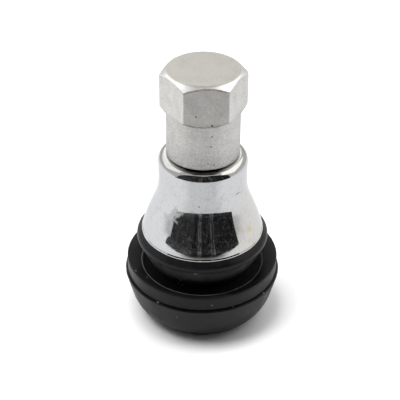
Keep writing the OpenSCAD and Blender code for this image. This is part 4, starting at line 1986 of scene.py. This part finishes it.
@dataclass
class ValveCore(SubAssembly):
    """The screwed-in core: plug, barrel, gasket, spring, pin, cup and the cup's washer."""

    barrel_d: float = 3.8
    barrel_hole_d: float = 1.6
    barrel_bore_d: float = 2.5
    gasket_groove: float = 0.22
    collar_d: float = 4.44
    swivel_d: float = 2.96
    swivel_head_d: float = 3.4
    throat_d: float = 4.16
    seat_flare: float = 0.2
    seat_h: float = 1.0
    bond_gap: float = 0.03
    face_gap: float = 0.01
    pin_d: float = 1.0
    pin_collar_d: float = 2.0
    pin_collar_t: float = 0.35
    pin_tip: float = 32.59
    rivet_d: float = 1.6
    wire_d: float = 0.26
    coil_d: float = 1.7
    coil_turns: float = 5.0
    steps_in_turn: int = 48
    plug_bevel: float = 0.05
    pin_travel: float = 1.2
    cup_d: float = 3.7
    cup_t: float = 0.22
    cup_washer_h: float = 0.8
    cup_rim: float = 18.98

    def barrel(self) -> list[Corner]:
        """The outline of the barrel, with its gasket groove, collar and swivel neck."""
        side, groove = self.barrel_d / 2, self.barrel_d / 2 - self.gasket_groove
        return [
            Corner(self.barrel_hole_d / 2, AT.barrel, round=0.05),
            Corner(side, AT.barrel, round=0.08),
            Corner(side, AT.seat),
            Corner(groove, AT.seat),
            Corner(groove, AT.gasket_top),
            Corner(self.collar_d / 2, AT.gasket_top, round=0.04),
            Corner(self.collar_d / 2, AT.collar_top, round=0.06),
            Corner(self.swivel_d / 2, AT.collar_top),
            Corner(self.swivel_d / 2, AT.swivel_head),
            Corner(self.swivel_head_d / 2, AT.swivel_head),
            Corner(self.swivel_head_d / 2, AT.swivel_top, round=0.06),
            Corner(self.barrel_bore_d / 2, AT.swivel_top),
            Corner(self.barrel_bore_d / 2, AT.barrel_floor),
            Corner(self.barrel_hole_d / 2, AT.barrel_floor, round=0.05),
        ]

    def gasket(self) -> list[Corner]:
        """The outline of the tapered ring on the barrel."""
        hole = self.barrel_d / 2 - self.gasket_groove + self.bond_gap
        low, seat = self.throat_d / 2 - self.bond_gap, self.throat_d / 2 + self.seat_flare - self.bond_gap
        return [
            Corner(hole, AT.seat + self.face_gap),
            Corner(low, AT.seat + self.face_gap, round=0.04),
            Corner(seat, AT.seat + self.seat_h, round=0.03),
            Corner(seat, AT.gasket_top - self.face_gap),
            Corner(hole, AT.gasket_top - self.face_gap),
        ]

    def pin(self) -> list[Corner]:
        """The outline of the pin, with its collar and riveted end."""
        r, rivet = self.pin_d / 2, self.rivet_d / 2
        shoulder = AT.cup - self.face_gap
        top = AT.pin_collar + self.pin_collar_t
        return [
            Corner(0.0, AT.pin_end),
            Corner(rivet, AT.pin_end, round=0.12),
            Corner(rivet, shoulder, round=0.04),
            Corner(r, shoulder),
            Corner(r, AT.pin_collar),
            Corner(self.pin_collar_d / 2, AT.pin_collar, round=0.04),
            Corner(self.pin_collar_d / 2, top, round=0.08),
            Corner(r, top),
            Corner(r, self.pin_tip - r / 2, round=0.12),
            Corner(r / 2, self.pin_tip, round=0.12),
            Corner(0.0, self.pin_tip),
        ]

    def cup(self) -> list[Corner]:
        """The outline of the drawn cup on the pin's lower end."""
        hole, side = self.pin_d / 2 + self.bond_gap, self.cup_d / 2
        return [
            Corner(hole, AT.cup),
            Corner(side, AT.cup, round=0.12),
            Corner(side, self.cup_rim, round=0.05),
            Corner(side - self.cup_t, self.cup_rim, round=0.05),
            Corner(side - self.cup_t, AT.cup + self.cup_t, round=0.03),
            Corner(hole, AT.cup + self.cup_t),
        ]

    def cup_ring(self) -> list[Corner]:
        """The outline of the rubber washer in the cup."""
        hole, side = self.pin_d / 2 + self.bond_gap, self.cup_d / 2 - self.cup_t - self.bond_gap
        top = AT.cup_washer + self.cup_washer_h
        return washer(hole, side, AT.cup_washer, top, (0.0, 0.05, 0.08, 0.03))

    def spring(self, shop: Workshop) -> Piece:
        """Winds the coil spring, as it stands while the pin is at rest.

        Args:
            shop: The shared trees, finishes and frame.

        Returns:
            The spring.
        """
        low = AT.barrel_floor + self.face_gap + self.wire_d / 2
        high = AT.pin_collar - self.face_gap - self.wire_d / 2
        mesh = shop.coil.run(
            "core_coil",
            bpy.data.meshes.new("coil_start"),
            Coil_Radius=self.coil_d / 2 * MM,
            Wire_Radius=self.wire_d / 2 * MM,
            Free_Turns=self.coil_turns,
            Low_End=low * MM,
            High_End=high * MM,
            Closed_Pitch=(self.wire_d + self.face_gap) * MM,
            Steps=int(self.coil_turns + CoilTree.closed_turns) * self.steps_in_turn,
            Material=shop.finishes.spring.material(),
        )
        piece = shop.hand_over(face_outwards(mesh), Part(Body.VALVE, Slot.SPRING, "core_spring"))
        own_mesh(piece)
        return piece

    def build(self, shop: Workshop) -> list[Piece]:
        """Builds the seven pieces of the core.

        Args:
            shop: The shared trees, finishes and frame.

        Returns:
            The pieces.
        """
        finishes = shop.finishes
        plug = shop.copy_solid("core_plug", self.plug_bevel, finishes.core)
        plug.name = "core_plug_threaded"
        core, seal, black = finishes.core, finishes.seal, finishes.cup_seal
        few = {"Segments": 48}
        return [
            shop.hand_over(plug, Part(Body.VALVE, Slot.CORE, "core_plug")),
            shop.turn("core_barrel_turned", self.barrel(), core, Part(Body.VALVE, Slot.CORE, "core_barrel")),
            shop.turn("barrel_seal_ring", self.gasket(), seal, Part(Body.VALVE, Slot.SEAL, "barrel_gasket")),
            self.spring(shop),
            shop.turn("core_pin_turned", self.pin(), core, Part(Body.PIN, Slot.CORE, "core_pin"), **few),
            shop.turn("drawn_cup", self.cup(), core, Part(Body.PIN, Slot.CORE, "pin_cup")),
            shop.turn("cup_seal_ring", self.cup_ring(), black, Part(Body.PIN, Slot.RUBBER, "cup_washer")),
        ]


# Studio


def around(azimuth: float, reach: float, height: float) -> Vector:
    """A place beside the valve.

    Args:
        azimuth: The angle round the axis in degrees, from the camera's side to its right.
        reach: The distance from the axis.
        height: The height above the ground.

    Returns:
        The place, in the unit of the reach and the height.
    """
    a = math.radians(azimuth)
    return Vector((reach * math.sin(a), -reach * math.cos(a), height))


@dataclass
class PhotoCamera:
    """The camera at the photograph's angle."""

    place: tuple[float, float, float] = (0.0, -0.123777, 0.10211)
    pitch: float = 34.764
    yaw: float = -0.152
    roll: float = 0.477
    focal_pixels: float = 1198.2
    frame_pixels: float = 400.0
    sensor: float = 36.0
    near: float = 0.001
    far: float = 10.0

    def build(self) -> None:
        """Makes the camera and sets it as the scene's own."""
        pitch, yaw, roll = (math.radians(a) for a in (self.pitch, self.yaw, self.roll))
        ahead = Vector((math.sin(yaw) * math.cos(pitch), math.cos(yaw) * math.cos(pitch), -math.sin(pitch)))
        right = ahead.cross(Vector((0, 0, 1))).normalized()
        up = right.cross(ahead)
        tilted_right = right * math.cos(roll) + up * math.sin(roll)
        tilted_up = up * math.cos(roll) - right * math.sin(roll)
        data = bpy.data.cameras.new("photo_camera")
        data.sensor_fit = "HORIZONTAL"
        data.sensor_width = self.sensor
        data.lens = self.focal_pixels / self.frame_pixels * self.sensor
        data.clip_start = self.near
        data.clip_end = self.far
        camera = bpy.data.objects.new("photo_camera", data)
        turn = Matrix((tilted_right, tilted_up, -ahead)).transposed().to_4x4()
        camera.matrix_world = Matrix.Translation(self.place) @ turn
        bpy.context.scene.collection.objects.link(camera)
        bpy.context.scene.camera = camera


@dataclass(frozen=True)
class SoftBox:
    """A lamp with a wide face, by its direction from the valve, in degrees."""

    name: str
    azimuth: float
    elevation: float
    width: float
    height: float
    radiance: float
    distance: float = 0.5
    mirrored: bool = True
    aim_height: float = 0.017

    def build(self) -> None:
        """Makes the lamp, aimed at the valve."""
        elevation = math.radians(self.elevation)
        way = around(self.azimuth, math.cos(elevation), math.sin(elevation))
        data = bpy.data.lights.new(self.name, "AREA")
        data.shape = "RECTANGLE"
        data.size = 2 * self.distance * math.tan(math.radians(self.width / 2))
        data.size_y = 2 * self.distance * math.tan(math.radians(self.height / 2))
        data.energy = self.radiance * math.pi * data.size * data.size_y
        lamp = bpy.data.objects.new(self.name, data)
        lamp.location = way * self.distance + Vector((0, 0, self.aim_height))
        lamp.rotation_euler = way.to_track_quat("Z", "Y").to_euler()
        lamp.visible_camera = False
        lamp.visible_glossy = self.mirrored
        bpy.context.scene.collection.objects.link(lamp)


@dataclass(frozen=True)
class DarkWall:
    """The curved dark wall behind the camera, in metres and degrees, with a ragged left edge.

    foot_spread is how far its foot reaches further left, over the lowest foot_rows. rag_waves
    are the height, pace and start of the waves that make the left edge ragged.
    """

    radius: float = 0.5
    left: float = -62.0
    right: float = 67.5
    low: float = -1.92
    top: float = 78.0
    eye_height: float = 0.017
    columns: int = 132
    rows: int = 60
    foot_spread: float = 2.5
    foot_rows: int = 4
    rag_waves: tuple[tuple[float, float, float], ...] = ((1.2, 1.9, 0.0), (0.9, 4.3, 1.0))

    def spot(self, column: int, row: int) -> Vector:
        """The place of one of its points.

        Args:
            column: The point's column, from the left.
            row: Its row, from the ground up. The rows lie closer together near the ground.

        Returns:
            The place.
        """
        elevation = math.radians(self.low + (self.top - self.low) * (row / self.rows) ** 2)
        left = self.left + self.foot_spread * max(0.0, 1.0 - row / self.foot_rows)
        left += sum(high * math.sin(row * pace + start) for high, pace, start in self.rag_waves)
        azimuth = left + (self.right - left) * column / self.columns
        height = self.eye_height + self.radius * math.sin(elevation)
        return around(azimuth, self.radius * math.cos(elevation), height)


@dataclass(frozen=True)
class DarkFloor:
    """The less lit floor in front of the valve, out of the picture, up to the dark wall.

    It starts at a straight line in front of the valve. left_edge holds its further rows, as
    distance from the axis and the angle at which the row starts on the left.
    """

    wall: DarkWall
    start: float = 0.021
    height: float = 0.00002
    columns: int = 110
    left_edge: tuple[Point, ...] = (
        (0.07, -68.0),
        (0.1, -68.0),
        (0.13, -68.0),
        (0.18, -67.5),
        (0.25, -66.0),
        (0.5, -63.0),
    )

    @property
    def rows(self) -> int:
        """How many rows of faces it has."""
        return len(self.left_edge)

    def spot(self, column: int, row: int) -> Vector:
        """The place of one of its points.

        Args:
            column: The point's column, from the left.
            row: Its row, from the valve outwards. The first is the straight line.

        Returns:
            The place.
        """
        reach, left = self.left_edge[max(row - 1, 0)]
        azimuth = left + (self.wall.right - left) * column / self.columns
        if row == 0:
            reach = self.start / math.cos(math.radians(azimuth))
        return around(azimuth, reach, self.height)


@dataclass
class Studio:
    """Pale floor, white surroundings, soft boxes and the dark side behind the camera.

    Tones are shades of grey from 0 to 1, and angles are degrees round the axis from the camera's
    side. streaks are paler upright stripes on the dark wall, as angle and width.
    """

    floor_radius: float = 2.0
    floor_bounce: float = 0.8
    floor_seen: float = 0.93
    floor_mirrored: float = 0.85
    floor_roughness: float = 0.9
    world_strength: float = 0.85
    wall: DarkWall = DarkWall()
    dark_floor: DarkFloor = DarkFloor(wall)
    dark_tone: float = 0.025
    streak_tone: float = 0.13
    streaks: tuple[Point, ...] = ((-4.6, 7.5), (17.0, 3.2), (21.6, 3.4))
    streak_edge: float = 0.62
    streak_core: float = 0.3
    clouds: Mottling = Mottling(22.0, 0.36, 0.66, 5.0)
    cloud_gain: float = 1.9
    least_cloud: float = 0.12
    left_start: float = -13.0
    left_full: float = -22.0
    left_gain: float = 2.5
    mat_radius: float = 0.101
    mat_height: float = 0.001
    front_tone: float = 0.68
    front_fade: float = 1.6
    side_start: float = 58.0
    side_full: float = 25.0
    lamps: tuple[SoftBox, ...] = (
        SoftBox("softbox_left", -135.0, 45.0, 60.0, 40.0, 1.0),
        SoftBox("softbox_right", 118.0, 50.0, 60.0, 36.0, 1.4),
        SoftBox("softbox_over", -70.0, 74.0, 22.0, 38.0, 9.7, 0.45, False),
    )

    def build(self) -> None:
        """Makes the whole studio."""
        for lamp in self.lamps:
            lamp.build()
        self._world()
        self._floor()
        unlit = self._unlit_finish()
        self._stage("dark_screen", self._sheet("dark_screen", self.wall, unlit), False)
        self._stage("front_floor", self._sheet("front_floor", self.dark_floor, unlit))

    def _world(self) -> None:
        """White surroundings at plain strength."""
        world = bpy.data.worlds.new("white_room")
        world.use_nodes = True
        back = world.node_tree.nodes["Background"]
        back.inputs["Color"].default_value = (1.0, 1.0, 1.0, 1.0)
        back.inputs["Strength"].default_value = self.world_strength
        bpy.context.scene.world = world

    def _matt(self, name: str) -> tuple[Material, Surface]:
        """A matt material and its surface."""
        material = bpy.data.materials.new(name)
        return material, Surface(material)

    def _grey(self, on: Surface, tone: Term) -> None:
        """Gives a surface a matt grey."""
        colour = on.graph.join(tone, tone, tone)
        on.feed(Base_Color=colour, Roughness=self.floor_roughness, Specular_IOR_Level=0.0)

    def _floor(self) -> None:
        """A plain pale floor, which looks white and keeps the valve's shadow."""
        material, on = self._matt("pale floor")
        mirrored = most([on.light_path("Is Glossy Ray"), on.light_path("Is Transmission Ray")])
        tone = mirrored * (self.floor_mirrored - self.floor_bounce) + self.floor_bounce
        tone = tone + on.light_path("Is Camera Ray") * (self.floor_seen - self.floor_bounce)
        self._grey(on, tone)
        mesh = bpy.data.meshes.new("floor")
        shape = bmesh.new()
        bmesh.ops.create_circle(shape, cap_ends=True, segments=96, radius=self.floor_radius)
        shape.to_mesh(mesh)
        shape.free()
        mesh.materials.append(material)
        self._stage("floor", mesh)

    def _unlit_finish(self) -> Material:
        """The finish of the room's unlit side, which the camera sees in the floor's own colour."""
        material, on = self._matt("unlit room")
        graph, ahead = on.graph, on.y * -1.0
        azimuth = on.x.apply("ARCTAN2", ahead) * math.degrees(1.0)
        bands = [
            graph.ramp((azimuth - middle).apply("ABSOLUTE"), wide * self.streak_edge, wide * self.streak_core)
            for middle, wide in self.streaks
        ]
        tone = most(bands) * (self.streak_tone - self.dark_tone) + self.dark_tone
        tone = tone * (self.clouds.mask(on) * self.cloud_gain + self.least_cloud)
        tone = tone * graph.ramp(azimuth, self.left_start, self.left_full, 1.0, self.left_gain)
        start = self.dark_floor.start
        fade = graph.ramp(ahead, start, start * self.front_fade)
        fade = fade * graph.ramp(azimuth.apply("ABSOLUTE"), self.side_start, self.side_full)
        lit = fade * (self.front_tone - self.floor_mirrored) + self.floor_mirrored
        near = on.reach.apply("LESS_THAN", self.mat_radius) * on.z.apply("LESS_THAN", self.mat_height)
        tone = tone + near * (lit - tone)
        self._grey(on, tone + on.light_path("Is Camera Ray") * (self.floor_seen - tone))
        return material

    def _sheet(self, name: str, shape: DarkWall | DarkFloor, material: Material) -> Mesh:
        """Makes a sheet of faces in columns and rows.

        Args:
            name: The mesh's name.
            shape: Gives the number of columns and rows, and the place of each point.
            material: The sheet's material.

        Returns:
            The mesh.
        """
        columns, rows = shape.columns, shape.rows
        points = [shape.spot(i, j) for i in range(columns + 1) for j in range(rows + 1)]
        corners = [i * (rows + 1) + j for i in range(columns) for j in range(rows)]
        faces = [(a, a + 1, a + rows + 2, a + rows + 1) for a in corners]
        mesh = bpy.data.meshes.new(name)
        mesh.from_pydata(points, [], faces)
        mesh.materials.append(material)
        return mesh

    def _stage(self, name: str, mesh: Mesh, seen: bool = True) -> None:
        """Adds a mesh to the studio.

        Args:
            name: The object's name.
            mesh: Its mesh.
            seen: Whether the camera sees it, and not only the lights and mirrors.
        """
        thing = bpy.data.objects.new(name, mesh)
        bpy.context.scene.collection.objects.link(thing)
        thing.visible_camera = seen


def dress_solids(frame: dict, finishes: Finishes) -> None:
    """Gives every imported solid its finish, shown or not.

    Args:
        frame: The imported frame.
        finishes: The valve's finishes.
    """
    by_node = {
        "rubber_body": finishes.rubber,
        "sleeve": finishes.sleeve,
        "stem": finishes.stem,
        "core_plug": finishes.core,
        "core_barrel": finishes.core,
        "barrel_gasket": finishes.seal,
        "core_spring": finishes.spring,
        "core_pin": finishes.core,
        "pin_cup": finishes.core,
        "cup_washer": finishes.cup_seal,
        "cap_washer": finishes.seal,
        "cap": finishes.cap,
    }
    for name, solid in frame["nodes"].items():
        material = by_node[name].material()
        if not solid.material_slots:
            solid.data.materials.append(material)
        for slot in solid.material_slots:
            slot.material = material


def main() -> None:
    """Builds the valve piece by piece, and then its studio and camera."""
    logging.basicConfig(level=logging.INFO, format="%(name)s: %(message)s")
    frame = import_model()
    PhotoCamera().build()
    Studio().build()
    shop = Workshop(frame)
    dress_solids(frame, shop.finishes)
    sleeve, stem = BellSleeve(), BrassStem()
    for assembly in (RubberBody(sleeve, stem), sleeve, stem, ValveCore(), ScrewCap()):
        pieces = assembly.build(shop)
        LOG.info("%s: %s", type(assembly).__name__, ", ".join(piece.name for piece in pieces))
    scene = bpy.context.scene
    scene.view_settings.view_transform = "Standard"


if __name__ == "__main__":
    main()
